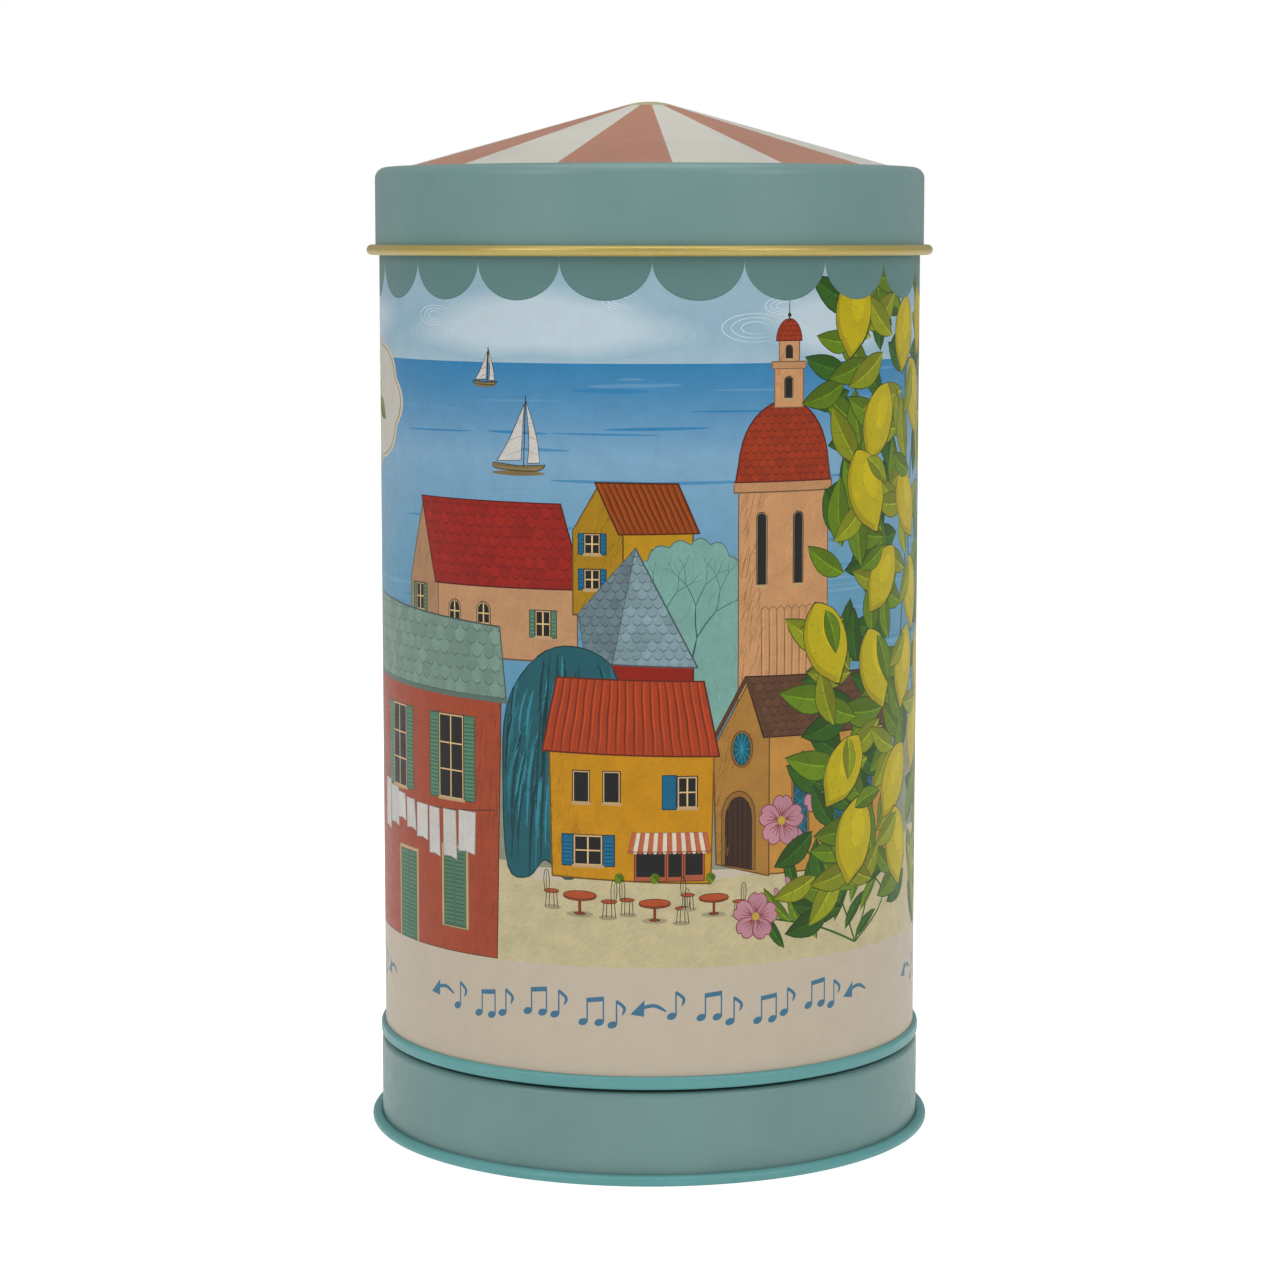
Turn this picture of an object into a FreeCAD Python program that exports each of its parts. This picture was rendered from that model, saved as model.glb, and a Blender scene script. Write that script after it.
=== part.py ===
"""Musical biscuit tin: a slip lid with a conical roof, a tall round canister and a low turning base.

The canister hangs its weight on a washer in the middle of the base and is screwed to the winding arbor
of a clockwork comb movement, which is fixed upside down under the top panel of the base.
Z is up, the origin is on the floor in the middle of the base, and the front of the print faces -Y.
"""

import FreeCAD, Part
import math
import os
import Sketcher
from FreeCAD import Placement, Rotation, Vector

DOC = FreeCAD.newDocument("musical_tin")

# ---------------------------------------------------------------- driving dimensions, in mm and degrees

SIZES = {
    # tinware
    "sheet": (0.28, "thickness of the tinplate"),
    "body_radius": (53.5, "outside of the canister wall"),
    "skirt_play": (0.45, "play between the canister wall and the inside of the lid skirt"),
    "curl_radius": (1.02, "rolled edge of the lid and of the base"),
    "foot_flat": (0.3, "flat worn on the underside of the base curl"),
    "rim_curl": (0.85, "rolled edge at the mouth of the canister"),
    "base_height": (17.6, "top of the base rim"),
    "base_corner": (1.2, "rounded edge of the base rim"),
    "plateau_rise": (2.4, "raised middle of the base panel"),
    "plateau_radius": (50.0, "raised middle of the base panel"),
    "turn_gap": (0.6, "air between the base rim and the canister seam"),
    "seam_height": (2.5, "bottom seam of the canister"),
    "seam_proud": (0.9, "how far the bottom seam stands out from the wall"),
    "seam_round": (0.7, "rounding of the bottom seam"),
    "seam_play": (0.05, "air inside the folded seam"),
    "recess": (4.08, "depth of the canister bottom above its seam"),
    "dome_radius": (11.0, "raised middle of the canister bottom"),
    "dome_rise": (4.0, "raised middle of the canister bottom"),
    "lap_angle": (5.5, "width of the folded side seam at the back of the wall"),
    "lap_turn": (9.8, "side seam, anticlockwise from the back"),
    "lid_shoulder": (191.2, "height of the flat shoulder of the lid"),
    "lid_depth": (17.1, "shoulder to the underside of the gold curl"),
    "lid_corner": (2.2, "rounded edge of the lid"),
    "roof_foot": (48.5, "radius where the roof starts"),
    "roof_angle": (15.6, "slope of the roof"),
    "apex_radius": (16.0, "rounding of the roof's tip"),
    "lid_air": (1.2, "air between the lid shoulder and the rim curl"),
    # base cover
    "cover_thick": (0.8, "moulded cover under the base"),
    "cover_height": (1.4, "underside of the cover above the floor"),
    "cover_rim": (4.6, "height of the cover's rim"),
    "sound_hole": (1.1, "radius of a sound hole"),
    # coupling
    "hub_radius": (9.6, "flange of the coupling hub"),
    "hub_flange": (1.2, "thickness of that flange"),
    "hub_boss": (4.2, "boss of the coupling hub"),
    "rivet_circle": (6.9, "circle of the hub rivets"),
    "rivet_radius": (0.9, "rivet shank"),
    "washer_thick": (0.4, "nylon thrust washer"),
    "washer_radius": (6.5, "nylon thrust washer"),
    "thrust_play": (0.05, "washer to hub"),
    "thread_radius": (1.7, "threaded end of the arbor"),
    "thread_play": (0.05, "radial play in the hub's thread"),
    # movement
    "bed_thick": (2.2, "die-cast bedplate"),
    "arbor_radius": (2.0, "winding arbor in the bedplate"),
    "fit_play": (0.03, "radial play of a running fit"),
    "wheel_gap": (0.4, "bedplate to drive wheel"),
    "wheel_thick": (1.1, "disc of the drive wheel"),
    "crown_radius": (12.25, "middle of the crown teeth"),
    "crown_width": (1.3, "crown teeth, measured along the radius"),
    "crown_teeth": (48, "teeth of the drive wheel"),
    "coarse_module": (0.5, "module of the first mesh"),
    "pinion_teeth": (12, "leaves of the cylinder pinion"),
    "fine_module": (0.3, "module of the other meshes"),
    "gear_teeth": (30, "teeth of the cylinder gear"),
    "leaf_teeth": (8, "leaves of the governor pinion"),
    "worm_wheel_teeth": (24, "teeth of the worm wheel"),
    "click_drop": (0.3, "drive wheel to click spring"),
    "housing_radius": (11.0, "spring housing"),
    "housing_wall": (0.4, "spring housing"),
    "housing_height": (7.8, "spring housing"),
    "housing_gap": (0.3, "crown teeth to spring housing"),
    "post_clear": (2.55, "middle of the crown teeth to the middle of a housing post"),
    "post_radius": (1.5, "housing post"),
    "spring_thick": (0.22, "mainspring"),
    "spring_width": (5.8, "mainspring"),
    "core_radius": (2.6, "arbor core that holds the mainspring"),
    "bracket_clear": (1.75, "middle of the crown teeth to the inner bracket"),
    "cylinder_clear": (3.65, "middle of the crown teeth to the pinned cylinder"),
    "pinion_inset": (0.8, "how far the pinion starts inside the middle of the crown teeth"),
    "cylinder_length": (20.0, "pinned cylinder"),
    "cylinder_radius": (4.5, "pinned cylinder"),
    "cylinder_wall": (0.5, "pinned cylinder"),
    "pin_length": (0.4, "a note pin above the cylinder"),
    "pin_radius": (0.16, "note pin"),
    "shaft_radius": (0.75, "cylinder shaft"),
    "comb_play": (0.07, "comb tips to note pins at rest"),
    "comb_thick": (0.5, "comb teeth"),
    "comb_heel": (1.2, "comb where it is clamped"),
    "bracket_thick": (0.8, "stamped brackets"),
    "idler_radius": (0.5, "governor wheel shaft"),
    "worm_radius": (1.05, "pitch radius of the worm"),
    "spindle_radius": (0.4, "pivots of the fly"),
    "fan_radius": (4.4, "reach of the fly's vanes"),
    "fan_height": (3.6, "height of the fly's vanes"),
    "fan_thick": (0.2, "fly's vanes"),
}

sheet = DOC.addObject("Spreadsheet::Sheet", "Sizes")
for row, (alias, (number, note)) in enumerate(SIZES.items(), 1):
    sheet.set(f"A{row}", alias)
    sheet.set(f"B{row}", str(number))
    sheet.setAlias(f"B{row}", alias)
    sheet.set(f"C{row}", note)
DOC.recompute()


class Size:
    """A number together with the spreadsheet expression that it comes from."""

    def __init__(self, value, text):
        self.value, self.text = value, text

    def __add__(self, other):
        return Size(self.value + as_size(other).value, f"({self.text} + {as_size(other).text})")

    def __sub__(self, other):
        return Size(self.value - as_size(other).value, f"({self.text} - {as_size(other).text})")

    def __mul__(self, other):
        return Size(self.value * as_size(other).value, f"({self.text} * {as_size(other).text})")

    def __truediv__(self, other):
        return Size(self.value / as_size(other).value, f"({self.text} / {as_size(other).text})")

    def __neg__(self):
        return Size(-self.value, f"(0 - {self.text})")

    def __radd__(self, other):
        return as_size(other) + self

    def __rsub__(self, other):
        return as_size(other) - self

    def __rmul__(self, other):
        return as_size(other) * self


def as_size(x):
    return x if isinstance(x, Size) else Size(float(x), f"({float(x):.9f})")


def sine(angle):
    angle = as_size(angle)
    return Size(math.sin(math.radians(angle.value)), f"sin({angle.text} * 1 deg)")


def cosine(angle):
    angle = as_size(angle)
    return Size(math.cos(math.radians(angle.value)), f"cos({angle.text} * 1 deg)")


class Named:
    """The cells of the sheet as Sizes, such as S.sheet."""

    def __getattr__(self, alias):
        return Size(float(sheet.get(alias)), f"Sizes.{alias}")


S = Named()

# ---------------------------------------------------------------- workshop standards, in mm and degrees

CURL_END = 130.0  # where a rolled edge closes against its wall
MOUTH_END = 310.0  # where the rolled mouth of the canister ends
COARSE_ROOT, COARSE_TIP = 1.2, 0.9  # depths below and above the pitch line, in modules
GEAR_WIDTH = 1.2
PINION_WIDTH = 1.7
WORM_WHEEL_WIDTH = 0.8
MOVEMENT_SCREW = 1.45  # shank radii
COMB_SCREW = 1.2
POST_SCREW = 0.7
BRACKET_SCREW = 0.8
HOLE_PLAY = 0.15  # radial play of a screw in a plain hole
THIN_HOLE_PLAY = 0.1
SLOT_HALF, SLOT_DEPTH = 0.3, 0.4  # driver slot of a screw
JOURNAL = 1.2  # lower journal of the arbor
KEY = 1.5  # radius across the squared part that drives the click spring
BUSH = 0.9  # radius of the endstone
ARM_BOTTOM = 2.7  # lower arm of the governor frame
COMB_ROOT, COMB_BACK = 17.4, 22.0  # the clamped heel of the comb
THIRDS = (0, 120, 240)
POST_ANGLES = (70, 180, 290)
NOTES = 18  # teeth of the comb
SOUND_RINGS = ((14.0, 8), (24.0, 14), (34.0, 20))  # radius and number of the sound holes

# ---------------------------------------------------------------- heights and places that several pieces share

skirt_inner = S.body_radius + S.skirt_play
skirt_radius = skirt_inner + S.sheet
plateau_top = S.base_height + S.plateau_rise
seam_bottom = S.base_height + S.turn_gap
seam_top = seam_bottom + S.seam_height
seam_radius = S.body_radius + S.seam_proud
chuck_radius = S.body_radius - S.sheet - S.seam_play
panel_top = seam_bottom + S.recess
dome_top = panel_top + S.dome_rise
body_top = S.lid_shoulder - S.sheet - S.lid_air
lid_bottom = S.lid_shoulder - S.lid_depth
hub_bottom = plateau_top + S.washer_thick + S.thrust_play
hub_top = dome_top - S.sheet

bed_top = plateau_top - S.sheet
bed_bottom = bed_top - S.bed_thick
wheel_top = bed_bottom - S.wheel_gap
wheel_bottom = wheel_top - S.wheel_thick
pitch_plane = wheel_bottom - COARSE_ROOT * S.coarse_module
crown_tip = pitch_plane - COARSE_TIP * S.coarse_module
pinion_pitch = S.coarse_module * S.pinion_teeth / 2
axis_height = pitch_plane - pinion_pitch
housing_top = crown_tip - S.housing_gap
housing_bottom = housing_top - S.housing_height
spring_bottom = housing_bottom + S.housing_wall + 0.3
cover_top = S.cover_height + S.cover_thick

post_circle = S.crown_radius + S.post_clear
inner_bracket_x = S.crown_radius + S.bracket_clear
pinion_x = S.crown_radius - S.pinion_inset
cylinder_start = S.crown_radius + S.cylinder_clear
cylinder_end = cylinder_start + S.cylinder_length
gear_start = cylinder_end + 0.7
outer_bracket = gear_start + GEAR_WIDTH + 0.7
idler_y = -(S.fine_module * (S.gear_teeth + S.leaf_teeth) / 2)
worm_wheel_start = outer_bracket + S.bracket_thick + 0.9
fly_x = worm_wheel_start + WORM_WHEEL_WIDTH / 2
fly_y = idler_y - S.fine_module * S.worm_wheel_teeth / 2 - S.worm_radius
governor_x = worm_wheel_start + WORM_WHEEL_WIDTH + 1.0
pin_reach = S.cylinder_radius + S.pin_length
comb_tip = pin_reach + S.comb_play
comb_top = axis_height + S.comb_thick / 2
heel_bottom = comb_top - S.comb_heel / 2
heel_top = heel_bottom + S.comb_heel
comb_screws = (cylinder_start + 4.6, cylinder_start + 15.6)
comb_screw_y = (COMB_ROOT + COMB_BACK) / 2
movement_screws = [
    (-(post_circle - 1.8), post_circle - 2.3),
    (-(post_circle - 1.8), -(post_circle - 2.3)),
    (cylinder_start + 15.1, as_size(-11.5)),
]
bed_far = governor_x + 2.6
bed_side = post_circle + 2.0
bed_outline = [
    (-(post_circle + 2.7), -(post_circle + 0.2)), (-(S.crown_radius - 0.25), -bed_side),
    (S.crown_radius - 0.25, -bed_side), (bed_far, fly_y - S.fan_radius - 2.05), (bed_far, 3.6),
    (cylinder_end + 2.7, 7.0), (cylinder_end + 2.7, COMB_BACK + 1.4), (cylinder_start - 1.9, COMB_BACK + 1.4),
    (S.crown_radius - 0.25, bed_side), (-(post_circle - 0.8), bed_side),
    (-(post_circle + 2.7), post_circle - 1.8),
]
# the screws of the inner bracket, the outer bracket and the governor frame
bracket_screws = [
    (inner_bracket_x + 2.4, as_size(-7.6)),
    (outer_bracket + 3.2, as_size(1.6)),
    (fly_x, fly_y - 3.2),
]

subparts = []


def keep(thing, label):
    """Names a finished sub-part."""
    thing.Label = label
    subparts.append(thing)
    return thing


def bind(thing, **sizes):
    """Ties properties to the sheet; a double underscore in a name stands for a dot."""
    for name, size in sizes.items():
        size = as_size(size)
        thing.setExpression(name.replace("__", "."), size.text)


# ---------------------------------------------------------------- Part primitives

TURN = {"z": Rotation(), "x": Rotation(Vector(0, 1, 0), 90), "down": Rotation(Vector(1, 0, 0), 180)}


def place(thing, x, y, z, turn="z", spin=0.0):
    rotation = TURN[turn].multiply(Rotation(Vector(0, 0, 1), spin))
    thing.Placement = Placement(Vector(*(as_size(v).value for v in (x, y, z))), rotation)
    bind(thing, Placement__Base__x=x, Placement__Base__y=y, Placement__Base__z=z)


def cylinder(radius, height, x=0, y=0, z=0, turn="z"):
    made = DOC.addObject("Part::Cylinder", "cylinder")
    bind(made, Radius=radius, Height=height)
    place(made, x, y, z, turn)
    return made


def cone(radius, top_radius, height, x=0, y=0, z=0, turn="z"):
    made = DOC.addObject("Part::Cone", "cone")
    bind(made, Radius1=radius, Radius2=top_radius, Height=height)
    place(made, x, y, z, turn)
    return made


def box(low, high):
    made = DOC.addObject("Part::Box", "box")
    length, width, height = (as_size(high[n]) - low[n] for n in range(3))
    bind(made, Length=length, Width=width, Height=height)
    place(made, *low)
    return made


def fuse(*things):
    made = DOC.addObject("Part::MultiFuse", "fuse")
    made.Shapes = list(things)
    made.Refine = True
    return made


def cut(base, *tools):
    made = DOC.addObject("Part::Cut", "cut")
    made.Base = base
    made.Tool = tools[0] if len(tools) == 1 else fuse(*tools)
    return made


def group(*things):
    """Separate solids that share one node."""
    made = DOC.addObject("Part::Compound", "group")
    made.Links = list(things)
    return made


def own_shape(label, shape):
    made = DOC.addObject("Part::Feature", label)
    made.Shape = shape
    return made


# ---------------------------------------------------------------- PartDesign bodies

def body(label):
    made = DOC.addObject("PartDesign::Body", label)
    return keep(made, label)


def on_plane(owner, name, role, height=0):
    """A sketch on one of the body's own origin planes, lifted off it by height."""
    made = owner.newObject("Sketcher::SketchObject", name)
    plane = next(f for f in owner.Origin.OriginFeatures if f.Role == role)
    made.AttachmentSupport = [(plane, "")]
    made.MapMode = "FlatFace"
    bind(made, AttachmentOffset__Base__z=height)
    return made


def arc_between(start, end, radius):
    """The short arc from start to end; it turns left where radius is above 0, and right below 0."""
    chord = end - start
    middle = (start + end) / 2
    half = chord.Length / 2
    rise = math.sqrt(max(radius * radius - half * half, 0.0))
    side = Vector(-chord.y, chord.x, 0).normalize() * (rise if radius > 0 else -rise)
    centre = middle + side
    first = math.atan2(start.y - centre.y, start.x - centre.x)
    last = math.atan2(end.y - centre.y, end.x - centre.x)
    if radius < 0:
        first, last = last, first
    circle = Part.Circle(centre, Vector(0, 0, 1), abs(radius))
    return Part.ArcOfCircle(circle, first, last if last > first else last + 2 * math.pi)


def outline(sketch, points):
    """A closed outline through points (x, y) or (x, y, radius); a radius bends the edge that arrives there."""
    spots = [tuple(as_size(v) for v in p) for p in points]
    at = [Vector(p[0].value, p[1].value, 0) for p in spots]
    first = sketch.GeometryCount
    for n, start in enumerate(at):
        to = (n + 1) % len(at)
        bend = spots[to][2] if len(spots[to]) > 2 else None
        edge = Part.LineSegment(start, at[to]) if bend is None else arc_between(start, at[to], bend.value)
        number = sketch.addGeometry(edge, False)
        if bend is not None:
            size = bend if bend.value > 0 else -bend
            told = sketch.addConstraint(Sketcher.Constraint("Radius", number, size.value))
            sketch.setExpression(f"Constraints[{told}]", size.text)
    for n, spot in enumerate(spots):
        before = (n - 1) % len(spots)

        def end_of(edge, wanted_start):
            """Which end of an edge lies at its start: 1 or 2. An arc that turns right runs backwards."""
            arrives = spots[(edge + 1) % len(spots)]
            backwards = len(arrives) > 2 and arrives[2].value < 0
            return 1 if wanted_start != backwards else 2

        here, there = end_of(n, True), end_of(before, False)
        sketch.addConstraint(Sketcher.Constraint("Coincident", first + before, there, first + n, here))
        for kind, size in (("DistanceX", spot[0]), ("DistanceY", spot[1])):
            told = sketch.addConstraint(Sketcher.Constraint(kind, -1, 1, first + n, here, size.value))
            sketch.setExpression(f"Constraints[{told}]", size.text)


def circle(sketch, x, y, radius):
    x, y, radius = as_size(x), as_size(y), as_size(radius)
    number = sketch.addGeometry(Part.Circle(Vector(x.value, y.value, 0), Vector(0, 0, 1), radius.value), False)
    for kind, size in (("DistanceX", x), ("DistanceY", y)):
        told = sketch.addConstraint(Sketcher.Constraint(kind, -1, 1, number, 3, size.value))
        sketch.setExpression(f"Constraints[{told}]", size.text)
    told = sketch.addConstraint(Sketcher.Constraint("Radius", number, radius.value))
    sketch.setExpression(f"Constraints[{told}]", radius.text)


def revolve(owner, sketch, angle=360.0):
    made = owner.newObject("PartDesign::Revolution", "turned")
    made.Profile = (sketch, [""])
    made.ReferenceAxis = (sketch, ["V_Axis"])
    if isinstance(angle, Size):
        made.Midplane = True
        bind(made, Angle=angle)
    else:
        made.Angle = angle
    sketch.Visibility = False
    return made


def pad(owner, sketch, length, reverse=False):
    made = owner.newObject("PartDesign::Pad", "pad")
    made.Profile = (sketch, [""])
    made.Reversed = reverse
    bind(made, Length=length)
    return made


def pocket(owner, sketch, length, reverse=False):
    """Cuts downwards from the sketch, or upwards where reverse is set, and checks that it cut."""
    DOC.recompute()
    before = owner.Tip.Shape.Volume
    made = owner.newObject("PartDesign::Pocket", "pocket")
    made.Profile = (sketch, [""])
    made.Reversed = reverse
    bind(made, Length=length)
    DOC.recompute()
    if not made.Shape.Volume < before - 1e-6:
        raise RuntimeError(f"{owner.Label}: {made.Name} cut nothing")
    return made


def polar(owner, features, sketch, count):
    made = owner.newObject("PartDesign::PolarPattern", "around")
    made.Originals = features
    made.Axis = (sketch, ["N_Axis"])
    made.Angle = 360.0
    bind(made, Occurrences=count)
    owner.Tip = made
    return made


def along_circle(radius, angle):
    return radius * cosine(angle), radius * sine(angle)


# ---------------------------------------------------------------- tinware

def curl(centre, radius, angle):
    x, z = along_circle(radius, angle)
    return centre[0] + x, centre[1] + z


def outward_curl(wall_inner, bottom, flat=0.0):
    """A rolled edge below a wall: from the wall's inner face round the outside and back to its outer face."""
    near = (wall_inner + S.curl_radius, bottom + S.curl_radius)
    far = (near[0] + flat, near[1])
    big, small = S.curl_radius, S.curl_radius - S.sheet
    points = [(wall_inner, near[1]), (*curl(near, big, 270), big)]
    if flat:
        points.append(curl(far, big, 270))
    points += [(*curl(far, big, 0), big), (*curl(far, big, 90), big)]
    if flat:
        points.append(curl(near, big, 90))
    points += [(*curl(near, big, CURL_END), big), curl(near, small, CURL_END), (*curl(near, small, 90), -small)]
    if flat:
        points.append(curl(far, small, 90))
    points += [(*curl(far, small, 0), -small), (*curl(far, small, 270), -small)]
    if flat:
        points.append(curl(near, small, 270))
    points.append((wall_inner + S.sheet, near[1], -small))
    return points


def lid():
    """One deep pressing: rolled edge, skirt, flat shoulder and conical roof."""
    made = body("lid")
    top, inside = S.lid_shoulder, S.lid_shoulder - S.sheet
    tip_x, tip_z = S.apex_radius * sine(S.roof_angle), S.apex_radius * (1 - cosine(S.roof_angle))
    slope = sine(S.roof_angle) / cosine(S.roof_angle)
    tip_foot = top + (S.roof_foot - tip_x) * slope
    apex = tip_foot + tip_z
    inner_radius = S.apex_radius - S.sheet
    share = inner_radius / S.apex_radius
    points = outward_curl(skirt_inner, lid_bottom)
    points += [
        (skirt_radius, top - S.lid_corner),
        (skirt_radius - S.lid_corner, top, S.lid_corner),
        (S.roof_foot, top),
        (tip_x, tip_foot),
        (0, apex, S.apex_radius),
        (0, apex - S.sheet),
        (tip_x * share, apex - S.sheet - tip_z * share, -inner_radius),
        (S.roof_foot, inside),
        (skirt_radius - S.lid_corner, inside),
        (skirt_inner, top - S.lid_corner, -(S.lid_corner - S.sheet)),
    ]
    section = on_plane(made, "lid_section", "XZ_Plane")
    outline(section, points)
    revolve(made, section)


def body_wall():
    """Rolled wall: flange at the foot, inward curl at the mouth, folded side seam inside the back."""
    made = body("body_wall")
    outer, inner = S.body_radius, S.body_radius - S.sheet
    flange = seam_bottom + S.sheet
    reach = seam_radius - S.seam_round
    centre = (outer - S.rim_curl, body_top - S.rim_curl)
    big, small = S.rim_curl, S.rim_curl - S.sheet
    rolled = [(*curl(centre, big, angle), big) for angle in (90, 180, 270, MOUTH_END)]
    unrolled = [(*curl(centre, small, angle), -small) for angle in (270, 180, 90)]
    points = [
        (inner, flange), (reach, flange), (reach, flange + S.sheet), (outer, flange + S.sheet),
        (outer, centre[1]), *rolled, curl(centre, small, MOUTH_END), *unrolled, (inner, centre[1], -small),
    ]
    section = on_plane(made, "wall_section", "XZ_Plane")
    outline(section, points)
    revolve(made, section)
    fold = on_plane(made, "side_seam_section", "YZ_Plane")
    low, high = seam_top + S.recess, body_top - 2 * S.rim_curl - 1.5
    crest, buried = inner - S.sheet, inner + S.sheet / 4
    outline(fold, [(crest, low), (buried, low), (buried, high), (crest, high)])
    revolve(made, fold, S.lap_angle)
    made.Placement = Placement(Vector(), Rotation(Vector(0, 0, 1), S.lap_turn.value))
    bind(made, Placement__Rotation__Angle=S.lap_turn)


def body_bottom():
    """Pressed bottom: domed middle, recessed panel, and a rim folded round the flange of the wall."""
    made = body("body_bottom")
    low, high, t = seam_bottom, seam_top, S.sheet
    chuck, edge = chuck_radius, seam_radius
    lip = S.body_radius + S.seam_play
    big, small = S.seam_round, S.seam_round - t
    dome_in = S.dome_radius - t
    points = [
        (0, dome_top), (S.dome_radius - 1, dome_top),
        (S.dome_radius, dome_top - 1, -1.0), (S.dome_radius, panel_top),
        (chuck - 1, panel_top), (chuck, panel_top - 1, -1.0), (chuck, low + t),
        (edge - big, low + t), (edge - t, low + big, small),
        (edge - t, high - big), (edge - big, high - t, small), (lip, high - t),
        (lip, high), (edge - big, high), (edge, high - big, -big), (edge, low + big), (edge - big, low, -big),
        (chuck - t, low), (chuck - t, panel_top - 1), (chuck - 1, panel_top - t, 1 - t),
        (dome_in, panel_top - t), (dome_in, dome_top - 1), (dome_in - (1 - t), dome_top - t, 1 - t),
        (0, dome_top - t),
    ]
    section = on_plane(made, "bottom_section", "XZ_Plane")
    outline(section, points)
    revolve(made, section)
    holes = on_plane(made, "rivet_hole", "XY_Plane", dome_top)
    circle(holes, S.rivet_circle, 0, S.rivet_radius)
    polar(made, [pocket(made, holes, 2 * t)], holes, 3)


def base_shell():
    """Pressed base: rolled foot, skirt, rim, and raised middle with holes for the arbor and the screws."""
    made = body("base_shell")
    t, corner, step = S.sheet, S.base_corner, 0.8
    rim, raised = S.base_height, plateau_top
    inner = skirt_inner
    points = outward_curl(inner, Size(0.0, "0"), S.foot_flat)
    points += [
        (skirt_radius, rim - corner), (skirt_radius - corner, rim, corner),
        (S.plateau_radius + t + step, rim), (S.plateau_radius + t, rim + step, -as_size(step)),
        (S.plateau_radius + t, raised - step), (S.plateau_radius + t - step, raised, step),
        (S.arbor_radius + 1.6, raised), (S.arbor_radius + 1.6, raised - t),
        (S.plateau_radius + t - step, raised - t), (S.plateau_radius, raised - step, -(step - t)),
        (S.plateau_radius, rim - t + step + t), (S.plateau_radius + t + step, rim - t, step + t),
        (skirt_radius - corner, rim - t), (inner, rim - corner, -(corner - t)),
    ]
    section = on_plane(made, "base_section", "XZ_Plane")
    outline(section, points)
    revolve(made, section)
    holes = on_plane(made, "screw_holes", "XY_Plane", plateau_top)
    for x, y in movement_screws:
        circle(holes, x, y, MOVEMENT_SCREW + HOLE_PLAY)
    pocket(made, holes, 2 * t)


def base_cover():
    """Moulded disc with a standing rim and rings of sound holes."""
    made = body("base_cover")
    edge = skirt_inner
    rim = S.cover_height + S.cover_rim
    section = on_plane(made, "cover_section", "XZ_Plane")
    outline(section, [
        (0, S.cover_height), (edge - 0.5, S.cover_height), (edge, S.cover_height + 0.5, 0.5),
        (edge, rim), (edge - 1, rim), (edge - 1, cover_top), (0, cover_top),
    ])
    revolve(made, section)
    for radius, count in SOUND_RINGS:
        hole = on_plane(made, "sound_hole", "XY_Plane", cover_top)
        circle(hole, radius, 0, S.sound_hole)
        polar(made, [pocket(made, hole, 2 * S.cover_thick)], hole, count)


# ---------------------------------------------------------------- coupling between canister and arbor

def coupling_hub():
    """Turned hub with a left-hand threaded blind bore."""
    flange = cylinder(S.hub_radius, S.hub_flange, z=hub_top - S.hub_flange)
    boss = cylinder(S.hub_boss, hub_top - S.hub_flange - hub_bottom, z=hub_bottom)
    bore = cylinder(S.thread_radius + S.thread_play, hub_top - hub_bottom - 1.0, z=hub_bottom)
    holes = []
    for angle in THIRDS:
        x, y = along_circle(S.rivet_circle, angle)
        holes.append(cylinder(S.rivet_radius, S.hub_flange, x, y, hub_top - S.hub_flange))
    keep(cut(fuse(flange, boss), bore, *holes), "coupling_hub")


def hub_rivets():
    rivets = []
    for angle in THIRDS:
        x, y = along_circle(S.rivet_circle, angle)
        shank = cylinder(S.rivet_radius, S.hub_flange + S.sheet, x, y, hub_top - S.hub_flange)
        head = cone(2 * S.rivet_radius, 1.4 * S.rivet_radius, 0.7, x, y, dome_top)
        tail = cone(1.3 * S.rivet_radius, 1.7 * S.rivet_radius, 0.5, x, y, hub_top - S.hub_flange - 0.5)
        rivets.append(fuse(shank, head, tail))
    keep(group(*rivets), "hub_rivets")


def thrust_washer():
    disc = cylinder(S.washer_radius, S.washer_thick, z=plateau_top)
    keep(cut(disc, cylinder(S.arbor_radius + 0.5, S.washer_thick, z=plateau_top)), "thrust_washer")


def winding_arbor():
    """From the top: thread, journal, seat of the drive wheel, key of the click spring, spring core, journal."""
    made = body("winding_arbor")
    click = wheel_bottom - S.click_drop
    core_top = housing_top - 0.9
    end = housing_bottom - 0.9
    section = on_plane(made, "arbor_section", "XZ_Plane")
    outline(section, [
        (0, end), (JOURNAL, end), (JOURNAL, spring_bottom - 0.2), (S.core_radius, spring_bottom - 0.2),
        (S.core_radius, core_top), (KEY, core_top), (KEY, click), (S.arbor_radius, click),
        (S.arbor_radius, hub_bottom), (S.thread_radius, hub_bottom),
        (S.thread_radius, hub_top - 1.7), (S.thread_radius - 0.5, hub_top - 1.2), (0, hub_top - 1.2),
    ])
    revolve(made, section)


def arbor_clip():
    """Open retaining clip on the lower end of the arbor."""
    low = housing_bottom - 0.6
    ring = cut(cylinder(2.4, 0.4, z=low), cylinder(JOURNAL, 0.4, z=low))
    keep(cut(ring, box((0.3, -0.7, low), (3.0, 0.7, low + 0.4))), "arbor_clip")


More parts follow.
